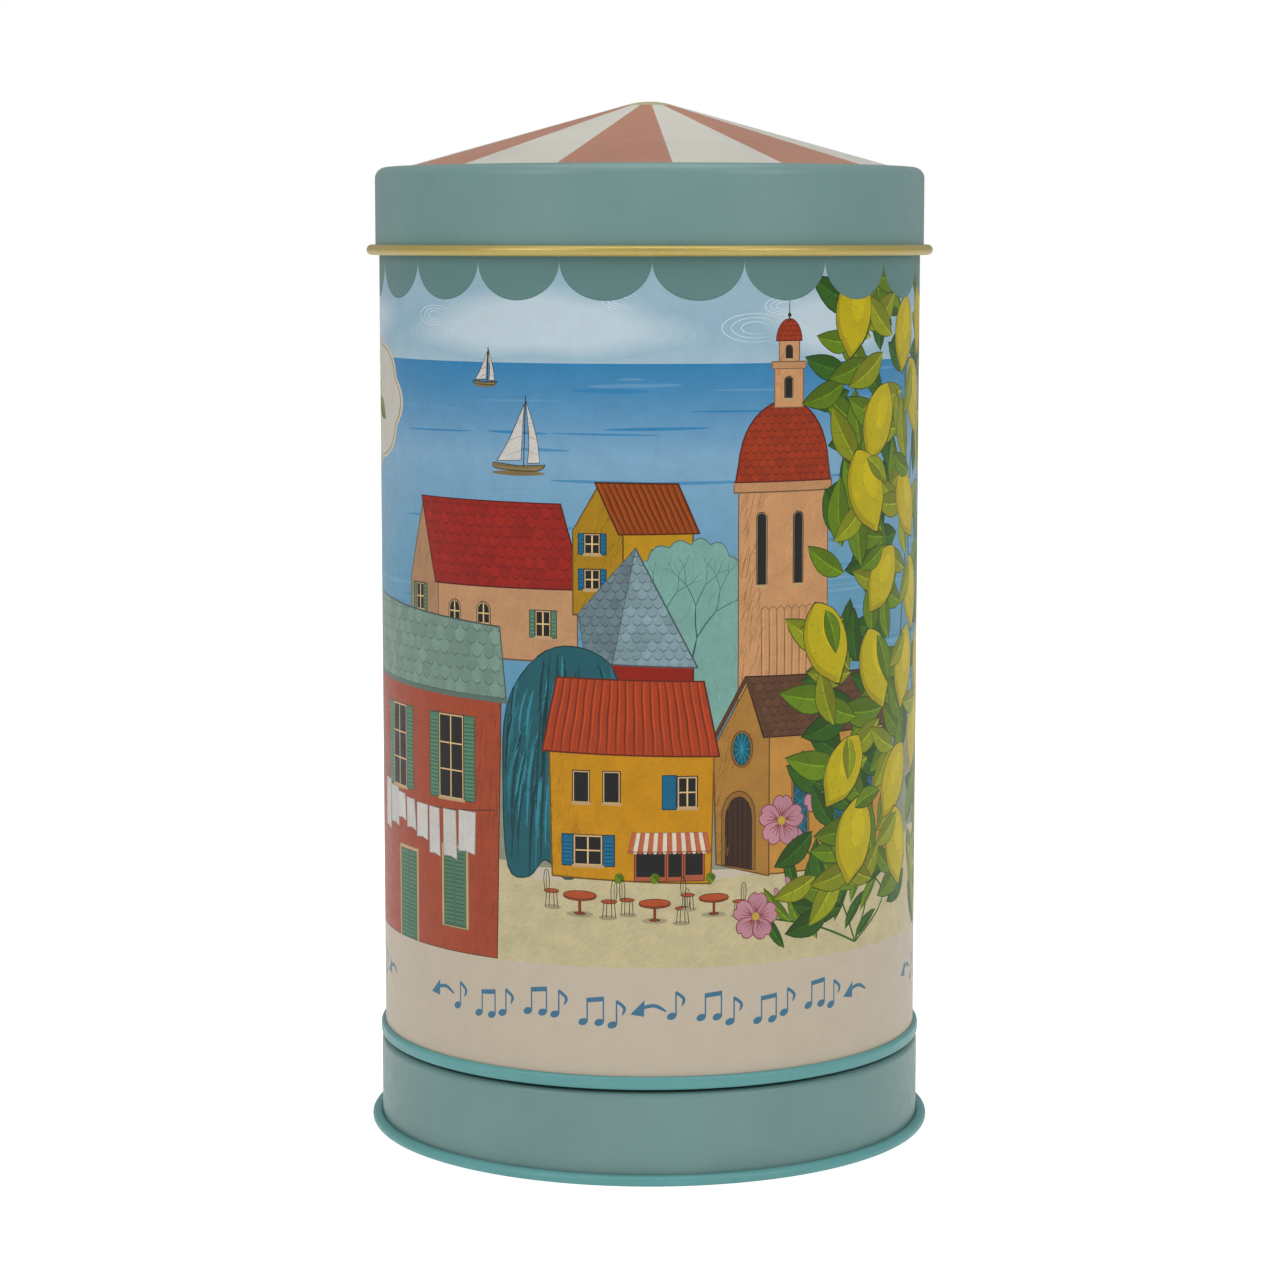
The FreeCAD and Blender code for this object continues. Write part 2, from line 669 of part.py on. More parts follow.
def click_spring():
    """Three-armed click that is keyed to the arbor and drives the wheel one way only."""
    low = wheel_bottom - S.click_drop - 0.2
    arms = [cylinder(3.4, 0.2, z=low)]
    for turn in THIRDS:
        x, y = along_circle(as_size(5.4), turn)
        arm = DOC.addObject("Part::Box", "arm")
        arm.Length, arm.Width, arm.Height = 7.0, 1.3, 0.2
        arm.Placement = Placement(Vector(x.value, y.value, low.value), Rotation(Vector(0, 0, 1), turn + 62))
        bind(arm, Placement__Base__z=low)
        spoke = DOC.addObject("Part::Box", "spoke")
        spoke.Length, spoke.Width, spoke.Height = 4.4, 1.3, 0.2
        turned = Placement(Vector(0, 0, low.value), Rotation(Vector(0, 0, 1), turn))
        spoke.Placement = turned.multiply(Placement(Vector(2.0, -0.65, 0), Rotation()))
        bind(spoke, Placement__Base__z=low)
        arms += [arm, spoke]
    keep(cut(fuse(*arms), cylinder(KEY, 0.2, z=low)), "click_spring")


# ---------------------------------------------------------------- movement frame

def screw_set(label, places, shank, head, head_height, length, seat, upwards):
    """Pan-head screws whose heads sit on seat; upwards ones come from below."""
    made = []
    if upwards:
        head_low, shank_low, slot_low = seat - head_height, seat, seat - head_height
    else:
        head_low, shank_low, slot_low = seat, seat - length, seat + head_height - SLOT_DEPTH
    for x, y in places:
        pan = cylinder(head, head_height, x, y, head_low)
        stem = cylinder(shank, length, x, y, shank_low)
        slot = box((x - head, y - SLOT_HALF, slot_low), (x + head, y + SLOT_HALF, slot_low + SLOT_DEPTH))
        made.append(cut(fuse(pan, stem), slot))
    keep(group(*made), label)


def bedplate():
    """Die-cast plate with a land for the comb and three posts for the spring housing."""
    made = body("bedplate")
    face = on_plane(made, "plate_outline", "XY_Plane", bed_bottom)
    outline(face, bed_outline)
    pad(made, face, S.bed_thick)
    land = on_plane(made, "comb_land", "XY_Plane", heel_top)
    left, right, front, back = cylinder_start - 0.5, cylinder_end + 0.7, COMB_ROOT + 0.2, COMB_BACK + 0.2
    outline(land, [(left, front), (right, front), (right, back), (left, back)])
    pad(made, land, bed_bottom - heel_top)
    posts = on_plane(made, "housing_posts", "XY_Plane", housing_top)
    for angle in POST_ANGLES:
        circle(posts, *along_circle(post_circle, angle), S.post_radius)
    pad(made, posts, bed_bottom - housing_top)
    holes = on_plane(made, "through_holes", "XY_Plane", bed_top)
    circle(holes, 0, 0, S.arbor_radius + S.fit_play)
    for x, y in movement_screws:
        circle(holes, x, y, MOVEMENT_SCREW)
    pocket(made, holes, S.bed_thick)
    window = on_plane(made, "cylinder_window", "XY_Plane", bed_top)
    left, right, half = cylinder_start + 1.1, cylinder_end - 0.9, 3.4
    outline(window, [(left, -half), (right, -half), (right, half), (left, half)])
    pocket(made, window, S.bed_thick)
    taps = on_plane(made, "comb_taps", "XY_Plane", heel_top)
    for x in comb_screws:
        circle(taps, x, comb_screw_y, COMB_SCREW)
    pocket(made, taps, 2.6, reverse=True)
    taps = on_plane(made, "post_taps", "XY_Plane", housing_top)
    for angle in POST_ANGLES:
        circle(taps, *along_circle(post_circle, angle), POST_SCREW)
    pocket(made, taps, 2.2, reverse=True)
    taps = on_plane(made, "bracket_taps", "XY_Plane", bed_bottom)
    for x, y in bracket_screws:
        circle(taps, x, y, BRACKET_SCREW)
    pocket(made, taps, 1.6, reverse=True)


def spring_housing():
    """Drawn cup with three ears."""
    made = body("spring_housing")
    outer, wall = S.housing_radius, S.housing_wall
    section = on_plane(made, "cup_section", "XZ_Plane")
    outline(section, [
        (JOURNAL + S.fit_play, housing_bottom), (outer - 1, housing_bottom), (outer, housing_bottom + 1, 1.0),
        (outer, housing_top), (outer - wall, housing_top), (outer - wall, housing_bottom + 1),
        (outer - 1, housing_bottom + wall, -(1 - wall)), (JOURNAL + S.fit_play, housing_bottom + wall),
    ])
    revolve(made, section)
    ears = on_plane(made, "ears", "XY_Plane", housing_top)
    start, end, half = outer - wall / 2, post_circle + S.post_radius, 1.7
    for angle in POST_ANGLES:
        corners = []
        for along, across in ((start, -half), (end, -half), (end, half), (start, half)):
            x = along * cosine(angle) - across * sine(angle)
            y = along * sine(angle) + across * cosine(angle)
            corners.append((x, y))
        outline(ears, corners)
    pad(made, ears, S.bracket_thick, reverse=True)
    holes = on_plane(made, "ear_holes", "XY_Plane", housing_top)
    for angle in POST_ANGLES:
        circle(holes, *along_circle(post_circle, angle), POST_SCREW + THIN_HOLE_PLAY)
    pocket(made, holes, S.bracket_thick)


def spring_cover():
    disc = cylinder(S.housing_radius - S.housing_wall, 0.4, z=housing_top - 0.5)
    keep(cut(disc, cylinder(S.core_radius + 0.4, 0.4, z=housing_top - 0.5)), "spring_cover")


def mainspring():
    """Flat spiral of half-circle stretches, hooked to the core and lying against the housing."""
    wall = (S.housing_radius - S.housing_wall).value
    outer, core = wall - 0.15, S.core_radius.value + 0.03
    thick, turns = S.spring_thick.value, 11
    pitch = (outer - thick - core) / turns
    step = pitch / 4  # the centres of successive half circles lie this far either side of the axis
    outside, inside = [], []
    for half in range(2 * turns):
        radius = outer - step - half * pitch / 2
        side = 1 if half % 2 == 0 else -1
        centre = Vector(side * step, 0, 0)
        for edges, size in ((outside, radius), (inside, radius - thick)):
            ends = [centre + Vector(s * side * size, 0, 0) for s in (1, -1)]
            edges.append(Part.Arc(ends[0], centre + Vector(0, side * size, 0), ends[1]).toShape())
    first, last = (inside[0], outside[0]), (inside[-1], outside[-1])
    start = Part.LineSegment(*(edge.valueAt(edge.FirstParameter) for edge in first)).toShape()
    finish = Part.LineSegment(*(edge.valueAt(edge.LastParameter) for edge in last)).toShape()
    face = Part.Face(Part.Wire(Part.__sortEdges__([*outside, finish, *inside, start])))
    strip = face.extrude(Vector(0, 0, S.spring_width.value))
    half = 0.6
    end = math.sqrt(wall * wall - half * half)  # the end piece bears on the wall along its two edges
    hook = Part.makeBox(end - outer + thick, 2 * half, S.spring_width.value, Vector(outer - thick, -half, 0))
    made = own_shape("mainspring", strip.fuse(hook).removeSplitter())
    made.Placement = Placement(Vector(0, 0, spring_bottom.value), Rotation())
    keep(made, "mainspring")


def comb():
    """Steel comb, its teeth long for the bass and short for the treble, with a thick heel."""
    gap = 0.26
    start = cylinder_start.value + 0.5
    pitch = (S.cylinder_length.value - 1.0) / NOTES
    tip, low = comb_tip.value, comb_top.value - S.comb_thick.value
    points = [(start - 0.6, COMB_ROOT)]
    for n in range(NOTES):
        left = start + n * pitch + gap / 2
        root = COMB_ROOT - 1.0 - 4.6 * n / (NOTES - 1)
        points += [(left, root), (left, tip), (left + pitch - gap, tip), (left + pitch - gap, root)]
    points.append((start + NOTES * pitch + 0.6, COMB_ROOT))
    corners = [Vector(x, y, low) for x, y in points]
    plate = Part.Face(Part.makePolygon([*corners, corners[0]])).extrude(Vector(0, 0, S.comb_thick.value))
    width, corner = points[-1][0] - points[0][0], Vector(points[0][0], COMB_ROOT, heel_bottom.value)
    heel = Part.makeBox(width, COMB_BACK - COMB_ROOT, S.comb_heel.value, corner)
    for x in comb_screws:
        place_at = Vector(x.value, comb_screw_y, heel_bottom.value)
        heel = heel.cut(Part.makeCylinder(COMB_SCREW + HOLE_PLAY, S.comb_heel.value, place_at))
    keep(own_shape("comb", plate.fuse(heel).removeSplitter()), "comb")


def inner_bracket():
    """Stamped angle that carries the inner end of the cylinder shaft."""
    left, right = inner_bracket_x, inner_bracket_x + S.bracket_thick
    leaf = box((left, -3.2, axis_height - 2.2), (right, 3.2, bed_bottom))
    foot = box((left, -10.2, bed_bottom - S.bracket_thick), (left + 4.8, -5.0, bed_bottom))
    neck = box((left, -5.0, bed_bottom - S.bracket_thick), (right, -3.2, bed_bottom))
    bore = cylinder(S.shaft_radius + S.fit_play, S.bracket_thick, left, 0, axis_height, "x")
    x, y = bracket_screws[0]
    hole = cylinder(BRACKET_SCREW + THIN_HOLE_PLAY, S.bracket_thick, x, y, bed_bottom - S.bracket_thick)
    keep(cut(fuse(leaf, foot, neck), bore, hole), "inner_bracket")


def outer_bracket_plate():
    """Stamped angle that carries the outer end of the cylinder shaft and the governor wheel."""
    left, right = outer_bracket, outer_bracket + S.bracket_thick
    leaf = box((left, idler_y - 2.0, axis_height - 2.2), (right, 3.4, bed_bottom))
    foot = box((right, -0.6, bed_bottom - S.bracket_thick), (right + 4.6, 3.4, bed_bottom))
    bores = [
        cylinder(S.shaft_radius + S.fit_play, S.bracket_thick, left, 0, axis_height, "x"),
        cylinder(S.idler_radius + S.fit_play, S.bracket_thick, left, idler_y, axis_height, "x"),
    ]
    x, y = bracket_screws[1]
    hole = cylinder(BRACKET_SCREW + THIN_HOLE_PLAY, S.bracket_thick, x, y, bed_bottom - S.bracket_thick)
    keep(cut(fuse(leaf, foot), *bores, hole), "outer_bracket")


def governor_frame():
    """Stamped channel: foot with the fly's upper pivot, leaf with the shaft's bearing, wall, lower arm."""
    left, right = governor_x, governor_x + S.bracket_thick
    back = fly_y - S.fan_radius - 1.0
    foot_bottom = bed_bottom - S.bracket_thick
    low, high = fly_x - 2.2, fly_x + 1.1
    foot = box((low, back, foot_bottom), (right, fly_y + 1.4, bed_bottom))
    leaf = box((left, fly_y + 0.4, axis_height - 1.6), (right, idler_y + 2.0, bed_bottom))
    wall = box((low, back, ARM_BOTTOM), (high, back + S.bracket_thick, bed_bottom))
    arm = box((low, back, ARM_BOTTOM), (high, fly_y + 2.0, ARM_BOTTOM + S.bracket_thick))
    upper = cylinder(S.spindle_radius + S.fit_play, S.bracket_thick, fly_x, fly_y, foot_bottom)
    lower = cylinder(BUSH, S.bracket_thick, fly_x, fly_y, ARM_BOTTOM)
    end = cylinder(S.idler_radius + S.fit_play, S.bracket_thick, left, idler_y, axis_height, "x")
    x, y = bracket_screws[2]
    hole = cylinder(BRACKET_SCREW + THIN_HOLE_PLAY, S.bracket_thick, x, y, foot_bottom)
    keep(cut(fuse(leaf, foot, wall, arm), upper, lower, end, hole), "governor_frame")


def endstone():
    """Brass bush in the lower arm, with a blind hole for the fly's lower pivot."""
    bush = cylinder(BUSH, S.bracket_thick + 0.2, fly_x, fly_y, ARM_BOTTOM)
    pit = cylinder(S.spindle_radius + S.fit_play, S.bracket_thick - 0.1, fly_x, fly_y, ARM_BOTTOM + 0.3)
    keep(cut(bush, pit), "endstone")


# ---------------------------------------------------------------- wheels

def toothed(owner, teeth, module, width, thick, tip=0.75, root=1.0, low=0.0):
    """A wheel of straight-sided teeth about its own Z axis, with one tooth along +Y."""
    pitch_radius = module * teeth / 2
    disc = on_plane(owner, "disc", "XY_Plane", low)
    circle(disc, 0, 0, pitch_radius - root * module)
    pad(owner, disc, width)
    tooth = on_plane(owner, "tooth", "XY_Plane", low)
    base, top = pitch_radius - (root + 0.35) * module, pitch_radius + tip * module
    half, slant = thick * module / 2, 0.3
    wide, narrow = half + (root + 0.35) * slant * module, half - tip * slant * module
    outline(tooth, [(-wide, base), (wide, base), (narrow, top), (-narrow, top)])
    return polar(owner, [pad(owner, tooth, width)], tooth, teeth)


def bore_through(owner, radius, top, depth):
    hole = on_plane(owner, "bore", "XY_Plane", top)
    circle(hole, 0, 0, radius)
    pocket(owner, hole, depth)


def drive_wheel():
    """Brass crown wheel, loose on the arbor, with its teeth pointing down."""
    made = body("drive_wheel")
    disc = on_plane(made, "disc", "XY_Plane")
    circle(disc, 0, 0, S.crown_radius + S.crown_width / 2)
    pad(made, disc, S.wheel_thick)
    tooth = on_plane(made, "tooth", "YZ_Plane", S.crown_radius - S.crown_width / 2)
    m = S.coarse_module
    depth, slant = (COARSE_ROOT + COARSE_TIP) * m, 0.16
    wide, narrow = 0.62 * m + slant, 0.62 * m - slant
    outline(tooth, [(-wide, 0.1), (-narrow, -depth), (narrow, -depth), (wide, 0.1)])
    first = pad(made, tooth, S.crown_width)
    pattern = made.newObject("PartDesign::PolarPattern", "around")
    pattern.Originals = [first]
    pattern.Axis = (disc, ["N_Axis"])
    pattern.Angle = 360.0
    bind(pattern, Occurrences=S.crown_teeth)
    made.Tip = pattern
    hole = on_plane(made, "bore", "XY_Plane", S.wheel_thick)
    circle(hole, 0, 0, S.arbor_radius + S.fit_play)
    pocket(made, hole, S.wheel_thick)
    lighten = on_plane(made, "lightening_hole", "XY_Plane", S.wheel_thick)
    circle(lighten, 6.8, 0, 1.9)
    polar(made, [pocket(made, lighten, S.wheel_thick)], lighten, 5)
    half_pitch = 180.0 / S.crown_teeth.value
    place(made, 0, 0, wheel_bottom, spin=half_pitch)


def cylinder_pinion():
    made = body("cylinder_pinion")
    toothed(made, S.pinion_teeth, S.coarse_module, PINION_WIDTH, 1.15, tip=0.85, root=1.1)
    bore_through(made, S.shaft_radius, PINION_WIDTH, PINION_WIDTH)
    place(made, pinion_x, 0, axis_height, "x")


def cylinder_gear():
    made = body("cylinder_gear")
    toothed(made, S.gear_teeth, S.fine_module, GEAR_WIDTH, 1.2)
    bore_through(made, S.shaft_radius, GEAR_WIDTH, GEAR_WIDTH)
    place(made, gear_start, 0, axis_height, "x")


def governor_pinion():
    made = body("governor_pinion")
    width = GEAR_WIDTH + 0.5
    toothed(made, S.leaf_teeth, S.fine_module, width, 1.15)
    bore_through(made, S.idler_radius, width, width)
    place(made, gear_start - 0.25, idler_y, axis_height, "x", spin=180.0 / S.leaf_teeth.value)


def worm_wheel():
    made = body("worm_wheel")
    toothed(made, S.worm_wheel_teeth, S.fine_module, WORM_WHEEL_WIDTH, 1.0)
    bore_through(made, S.idler_radius, WORM_WHEEL_WIDTH, WORM_WHEEL_WIDTH)
    place(made, worm_wheel_start, idler_y, axis_height, "x")


def cylinder_tube():
    length, bore = S.cylinder_length, S.cylinder_radius - S.cylinder_wall
    tube = cylinder(S.cylinder_radius, length, cylinder_start, 0, axis_height, "x")
    inside = cylinder(bore, length, cylinder_start, 0, axis_height, "x")
    keep(cut(tube, inside), "cylinder_tube")


def cylinder_caps():
    """The two discs that close the tube and hold it on its shaft."""
    caps = []
    for x in (cylinder_start, cylinder_end - 1.0):
        disc = cylinder(S.cylinder_radius - S.cylinder_wall, 1.0, x, 0, axis_height, "x")
        caps.append(cut(disc, cylinder(S.shaft_radius, 1.0, x, 0, axis_height, "x")))
    keep(group(*caps), "cylinder_caps")


def cylinder_shaft():
    length = outer_bracket + S.bracket_thick + 0.4 - pinion_x
    keep(cylinder(S.shaft_radius, length, pinion_x, 0, axis_height, "x"), "cylinder_shaft")


def note_pins():
    """A rising and falling scale round the cylinder: each step plucks one note, with a chord on every sixth."""
    steps = 54
    start = cylinder_start.value + 0.5
    pitch = (S.cylinder_length.value - 1.0) / NOTES
    pins = []
    for step in range(steps):
        angle = math.radians(360.0 * step / steps + 3.0)
        wave = (NOTES - 1) / 2 * (1 + math.sin(4 * math.pi * step / steps))
        notes = {round(wave)}
        if step % 6 == 0:
            notes |= {(round(wave) + 5) % NOTES, (round(wave) + 10) % NOTES}
        for note in sorted(notes):
            out = Vector(0, math.cos(angle), math.sin(angle))
            foot = Vector(start + (note + 0.5) * pitch, 0, axis_height.value) + out * S.cylinder_radius.value
            pins.append(Part.makeCylinder(S.pin_radius.value, S.pin_length.value, foot, out))
    keep(own_shape("note_pins", Part.makeCompound(pins)), "note_pins")


def governor_shaft():
    start = gear_start - 0.4
    length = governor_x + S.bracket_thick - start
    keep(cylinder(S.idler_radius, length, start, idler_y, axis_height, "x"), "governor_shaft")


def worm_spindle():
    """Fly spindle with a right-hand, single-start worm beside the worm wheel."""
    module, radius = S.fine_module.value, S.worm_radius.value
    lead = math.pi * module
    core, tip = radius - 1.05 * module, radius + 0.75 * module
    x, y, middle = fly_x.value, fly_y.value, axis_height.value
    turns = 5
    height = turns * lead
    low = middle - height / 2
    helix = Part.makeHelix(lead, height, core)
    slant = 0.3
    root_half = 0.15 * lead + slant * 0.9 * module
    tip_half = 0.15 * lead - slant * 0.75 * module + 0.02
    foot = core - 0.1
    section = ((foot, -root_half), (tip, -tip_half), (tip, tip_half), (foot, root_half), (foot, -root_half))
    profile = Part.makePolygon([Vector(along, 0, up) for along, up in section])
    thread = Part.Wire(helix).makePipeShell([profile], True, True)
    # the valley of the thread faces the wheel, along +Y, at the height of the wheel's axis
    thread.Placement = Placement(Vector(x, y, low), Rotation(Vector(0, 0, 1), 90.0 + 180.0 * (turns + 1)))
    top = bed_bottom.value
    bottom = ARM_BOTTOM + 0.3
    rod = Part.makeCylinder(core, height + 1.2, Vector(x, y, low - 0.6))
    pivots = Part.makeCylinder(S.spindle_radius.value, top - bottom - 0.1, Vector(x, y, bottom + 0.05))
    made = own_shape("worm_spindle", rod.fuse([pivots, thread]).removeSplitter())
    keep(made, "worm_spindle")


def fan():
    """Two-vaned air brake on a small collet."""
    low = ARM_BOTTOM + S.bracket_thick + 0.6
    collet = cylinder(0.9, S.fan_height, fly_x, fly_y, low)
    high, half = low + S.fan_height, S.fan_thick / 2
    vanes = box((fly_x - S.fan_radius, fly_y - half, low), (fly_x + S.fan_radius, fly_y + half, high))
    notches = []
    for middle in (fly_x - 2.3, fly_x + 2.3):
        notches.append(box((middle - 0.7, fly_y - 0.5, high - 1.2), (middle + 0.7, fly_y + 0.5, high)))
    bore = cylinder(S.spindle_radius, S.fan_height, fly_x, fly_y, low)
    keep(cut(fuse(collet, vanes), bore, *notches), "fan")


def fasteners():
    thin, both = S.bracket_thick, S.bed_thick + S.sheet
    combs = [(x, as_size(comb_screw_y)) for x in comb_screws]
    posts = [along_circle(post_circle, angle) for angle in POST_ANGLES]
    screw_set("movement_screws", movement_screws, MOVEMENT_SCREW, 2.7, 1.2, both, plateau_top, False)
    screw_set("comb_screws", combs, COMB_SCREW, 2.1, 1.3, S.comb_heel + 2.2, heel_bottom, True)
    screw_set("housing_screws", posts, POST_SCREW, 1.3, 0.8, thin + 1.8, housing_top - thin, True)
    screw_set("bracket_screws", bracket_screws, BRACKET_SCREW, 1.35, 0.8, thin + 1.4, bed_bottom - thin, True)


def check(thing):
    if any(word in thing.State for word in ("Invalid", "Error")):
        raise RuntimeError(f"{thing.Label} ({thing.Name}) failed: {thing.State}")


def main():
    for build in (
        lid, body_wall, body_bottom, coupling_hub, hub_rivets, winding_arbor, arbor_clip, click_spring,
        base_shell, base_cover, thrust_washer, bedplate, spring_housing, spring_cover, mainspring, comb,
        inner_bracket, outer_bracket_plate, governor_frame, endstone, drive_wheel,
        cylinder_tube, cylinder_caps, cylinder_shaft, note_pins, cylinder_pinion, cylinder_gear,
        governor_shaft, governor_pinion, worm_wheel, worm_spindle, fan, fasteners,
    ):
        build()
    DOC.recompute()
    for thing in DOC.Objects:
        check(thing)
    os.makedirs("parts", exist_ok=True)
    for thing in subparts:
        shape = thing.Shape
        if shape.isNull() or not shape.isValid() or not shape.Solids:
            raise RuntimeError(f"{thing.Label} has no valid solid")
    for thing in subparts:
        thing.Shape.exportStep(f"parts/{thing.Label}.step")


main()
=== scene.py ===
"""A wind-up musical biscuit tin: slip lid with a striped roof, printed canister and turning base.

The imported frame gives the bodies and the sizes. This file makes the tinware that shows as turned sheet
metal, rolls the printed wrap round the canister, and gives every piece its finish.
"""

import math
import random

import bmesh
import bpy
import numpy as np
from bpy.props import FloatProperty, FloatVectorProperty, IntProperty, PointerProperty
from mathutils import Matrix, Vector
from mathutils.geometry import delaunay_2d_cdt


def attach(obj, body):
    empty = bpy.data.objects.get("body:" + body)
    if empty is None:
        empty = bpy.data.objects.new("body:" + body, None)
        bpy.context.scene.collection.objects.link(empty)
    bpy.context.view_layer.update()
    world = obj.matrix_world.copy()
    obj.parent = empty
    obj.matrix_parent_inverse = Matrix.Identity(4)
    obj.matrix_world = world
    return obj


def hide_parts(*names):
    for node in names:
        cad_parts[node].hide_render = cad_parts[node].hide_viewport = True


bl_info = {
    "name": "Musical biscuit tin",
    "version": (1, 0, 0),
    "blender": (4, 5, 0),
    "location": "View3D > Sidebar > Tin",
    "description": "Turned tinware, printed wrap and finishes of a wind-up musical tin",
    "category": "Add Mesh",
}

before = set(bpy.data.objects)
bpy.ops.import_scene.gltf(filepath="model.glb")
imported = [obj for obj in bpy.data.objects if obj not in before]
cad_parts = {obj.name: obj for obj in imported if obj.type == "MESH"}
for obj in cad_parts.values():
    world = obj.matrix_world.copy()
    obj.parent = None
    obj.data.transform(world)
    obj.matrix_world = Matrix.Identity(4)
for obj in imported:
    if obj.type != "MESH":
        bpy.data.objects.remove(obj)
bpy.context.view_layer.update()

MM = 0.001
TINY = 1e-6  # metres that keep a turned tip just inside its bounds

# ---------------------------------------------------------------- sizes read from the frame


def places(node):
    """The points of a CAD node as distances from the axis and heights."""
    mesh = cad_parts[node].data
    flat = np.empty(len(mesh.vertices) * 3)
    mesh.vertices.foreach_get("co", flat)
    x, y, z = flat.reshape(-1, 3).T
    return np.hypot(x, y), z


def reach(node, low=-1.0, high=1.0):
    """How far from the axis a node reaches between two heights."""
    radius, height = places(node)
    return float(radius[(height > low) & (height < high)].max())


def top_beyond(node, radius):
    """The highest point of a node that lies further from the axis than radius."""
    distance, height = places(node)
    return float(height[distance > radius].max())


# ---------------------------------------------------------------- what a user would change

INKS = {
    "enamel": ("6f908d", "lid and base enamel"),
    # Painted highlight: this brighter teal stands for the light that the base's rolled foot and the bottom
    # seam catch.
    "enamel_bright": ("5f9c9c", "rolled edges and seam"),
    "gold": ("b9a55c", "gold curl of the lid"),
    "cap": ("b6ad80", "tip of the roof"),
    "stripe_red": ("b47a60", "terracotta stripes"),
    "stripe_cream": ("d3d1c5", "cream stripes"),
    "scallop": ("5e8280", "scalloped awning under the lid"),
    "band": ("bfb29f", "plain band at the foot of the wrap"),
    "ornament": ("3f6f8a", "ornament on the band"),
    "sky": ("8fb0c1", "sky"),
    "cloud": ("b6c5cd", "clouds"),
    "sea_far": ("2f7cab", "sea at the horizon"),
    "sea_light": ("79a3c0", "light stretch of sea"),
    "sea_near": ("5e93b0", "near sea"),
    "ground": ("bdb189", "sandy ground"),
    "line": ("33251d", "drawn outlines"),
    "red_tile": ("931b0f", "red tiles"),
    "orange_tile": ("a03a16", "orange ribbed roof"),
    "brown_tile": ("8a3c06", "brown ribbed roof"),
    "dome_tile": ("97300b", "domes of the tower"),
    "sage_tile": ("738f81", "sage tiles"),
    "slate_tile": ("7c959c", "slate pyramid"),
    "church_tile": ("5d3d28", "church roof"),
    "peach": ("b88a62", "peach walls"),
    "tower": ("c18e60", "tower walls"),
    "russet": ("9d4326", "russet walls"),
    "mustard": ("bd8407", "mustard walls"),
    "yellow": ("b2860d", "yellow walls"),
    "ochre": ("ab7a35", "church walls"),
    "red_wall": ("891a07", "red walls"),
    "green_shutter": ("4c785d", "green shutters"),
    "blue_shutter": ("0c5f80", "blue shutters"),
    "trim": ("c9a878", "window frames"),
    "glass": ("1a1c1a", "window panes"),
    "door": ("3c271a", "doors"),
    "linen": ("c9c6bf", "washing and sails"),
    "hull": ("87764c", "boats"),
    "dark_tree": ("1c5760", "weeping tree"),
    "pale_tree": ("74a096", "pale tree"),
    "lemon": ("b5a405", "lemons"),
    "leaf_light": ("87900f", "light leaves"),
    "leaf": ("5f7d08", "leaves"),
    "leaf_dark": ("2f5a14", "dark leaves"),
    "petal": ("b57f8b", "petals"),
    "petal_heart": ("8b4548", "hearts of the flowers"),
    "awning_red": ("b8603f", "awning stripes"),
    "awning_cream": ("d8c8b0", "awning stripes"),
    "table": ("a84a22", "tables and chairs' seats"),
}


def linear(code):
    """An sRGB code such as "5f9c9c" as linear red, green and blue."""
    parts = [int(code[n : n + 2], 16) / 255 for n in (0, 2, 4)]
    return tuple(p / 12.92 if p <= 0.04045 else ((p + 0.055) / 1.055) ** 2.4 for p in parts)


def ink_property(name, code, note):
    return FloatVectorProperty(
        name=name.replace("_", " ").capitalize(),
        description=f"Ink of the {note}",
        subtype="COLOR",
        size=3,
        min=0.0,
        max=1.0,
        default=linear(code),
    )


def length_property(name, note, metres):
    return FloatProperty(name=name, description=note, default=metres, min=0.0, unit="LENGTH", precision=5)


class TinInks(bpy.types.PropertyGroup):
    """Colours of the enamels and of the printed wrap."""

    __annotations__ = {name: ink_property(name, code, note) for name, (code, note) in INKS.items()}


class TinSizes(bpy.types.PropertyGroup):
    """Sizes of the pressed tinware that the frame's boxes don't tell."""

    sheet: length_property("Sheet", "Thickness of the tinplate", 0.28 * MM)
    curl: length_property("Curl", "Radius of the rolled edges of lid and base", 1.02 * MM)
    foot_flat: length_property("Foot flat", "Flat on the underside of the base curl", 0.3 * MM)
    rim_curl: length_property("Rim curl", "Radius of the rolled mouth of the canister", 0.85 * MM)
    lid_corner: length_property("Lid corner", "Rounded edge of the lid", 2.2 * MM)
    base_corner: length_property("Base corner", "Rounded edge of the base", 1.2 * MM)
    roof_foot: length_property("Roof foot", "Radius where the roof starts", 48.5 * MM)
    tip: length_property("Tip", "Rounding of the roof's tip", 16.0 * MM)
    plateau: length_property("Plateau", "Radius of the raised middle of the base", 50.0 * MM)
    step: length_property("Step", "Rounding of that raised middle's edge", 0.8 * MM)
    seam_round: length_property("Seam round", "Rounding of the bottom seam", 0.7 * MM)
    dome: length_property("Dome", "Radius of the raised middle of the canister bottom", 11.0 * MM)
    fold: length_property("Fold", "Rounding of the canister bottom", 1.0 * MM)
    skin: length_property("Skin", "Thickness given to the printed wrap", 0.05 * MM)
    roof_angle: FloatProperty(
        name="Roof angle", description="Slope of the roof", subtype="ANGLE", default=math.radians(15.6)
    )
    lap_turn: FloatProperty(
        name="Lap turn", description="Side seam, anticlockwise from the back", subtype="ANGLE",
        default=math.radians(9.8),
    )
    steps: IntProperty(name="Steps", description="Steps round a turned piece", default=240, min=48)
    columns: IntProperty(name="Columns", description="Steps round the printed wrap", default=160, min=80)


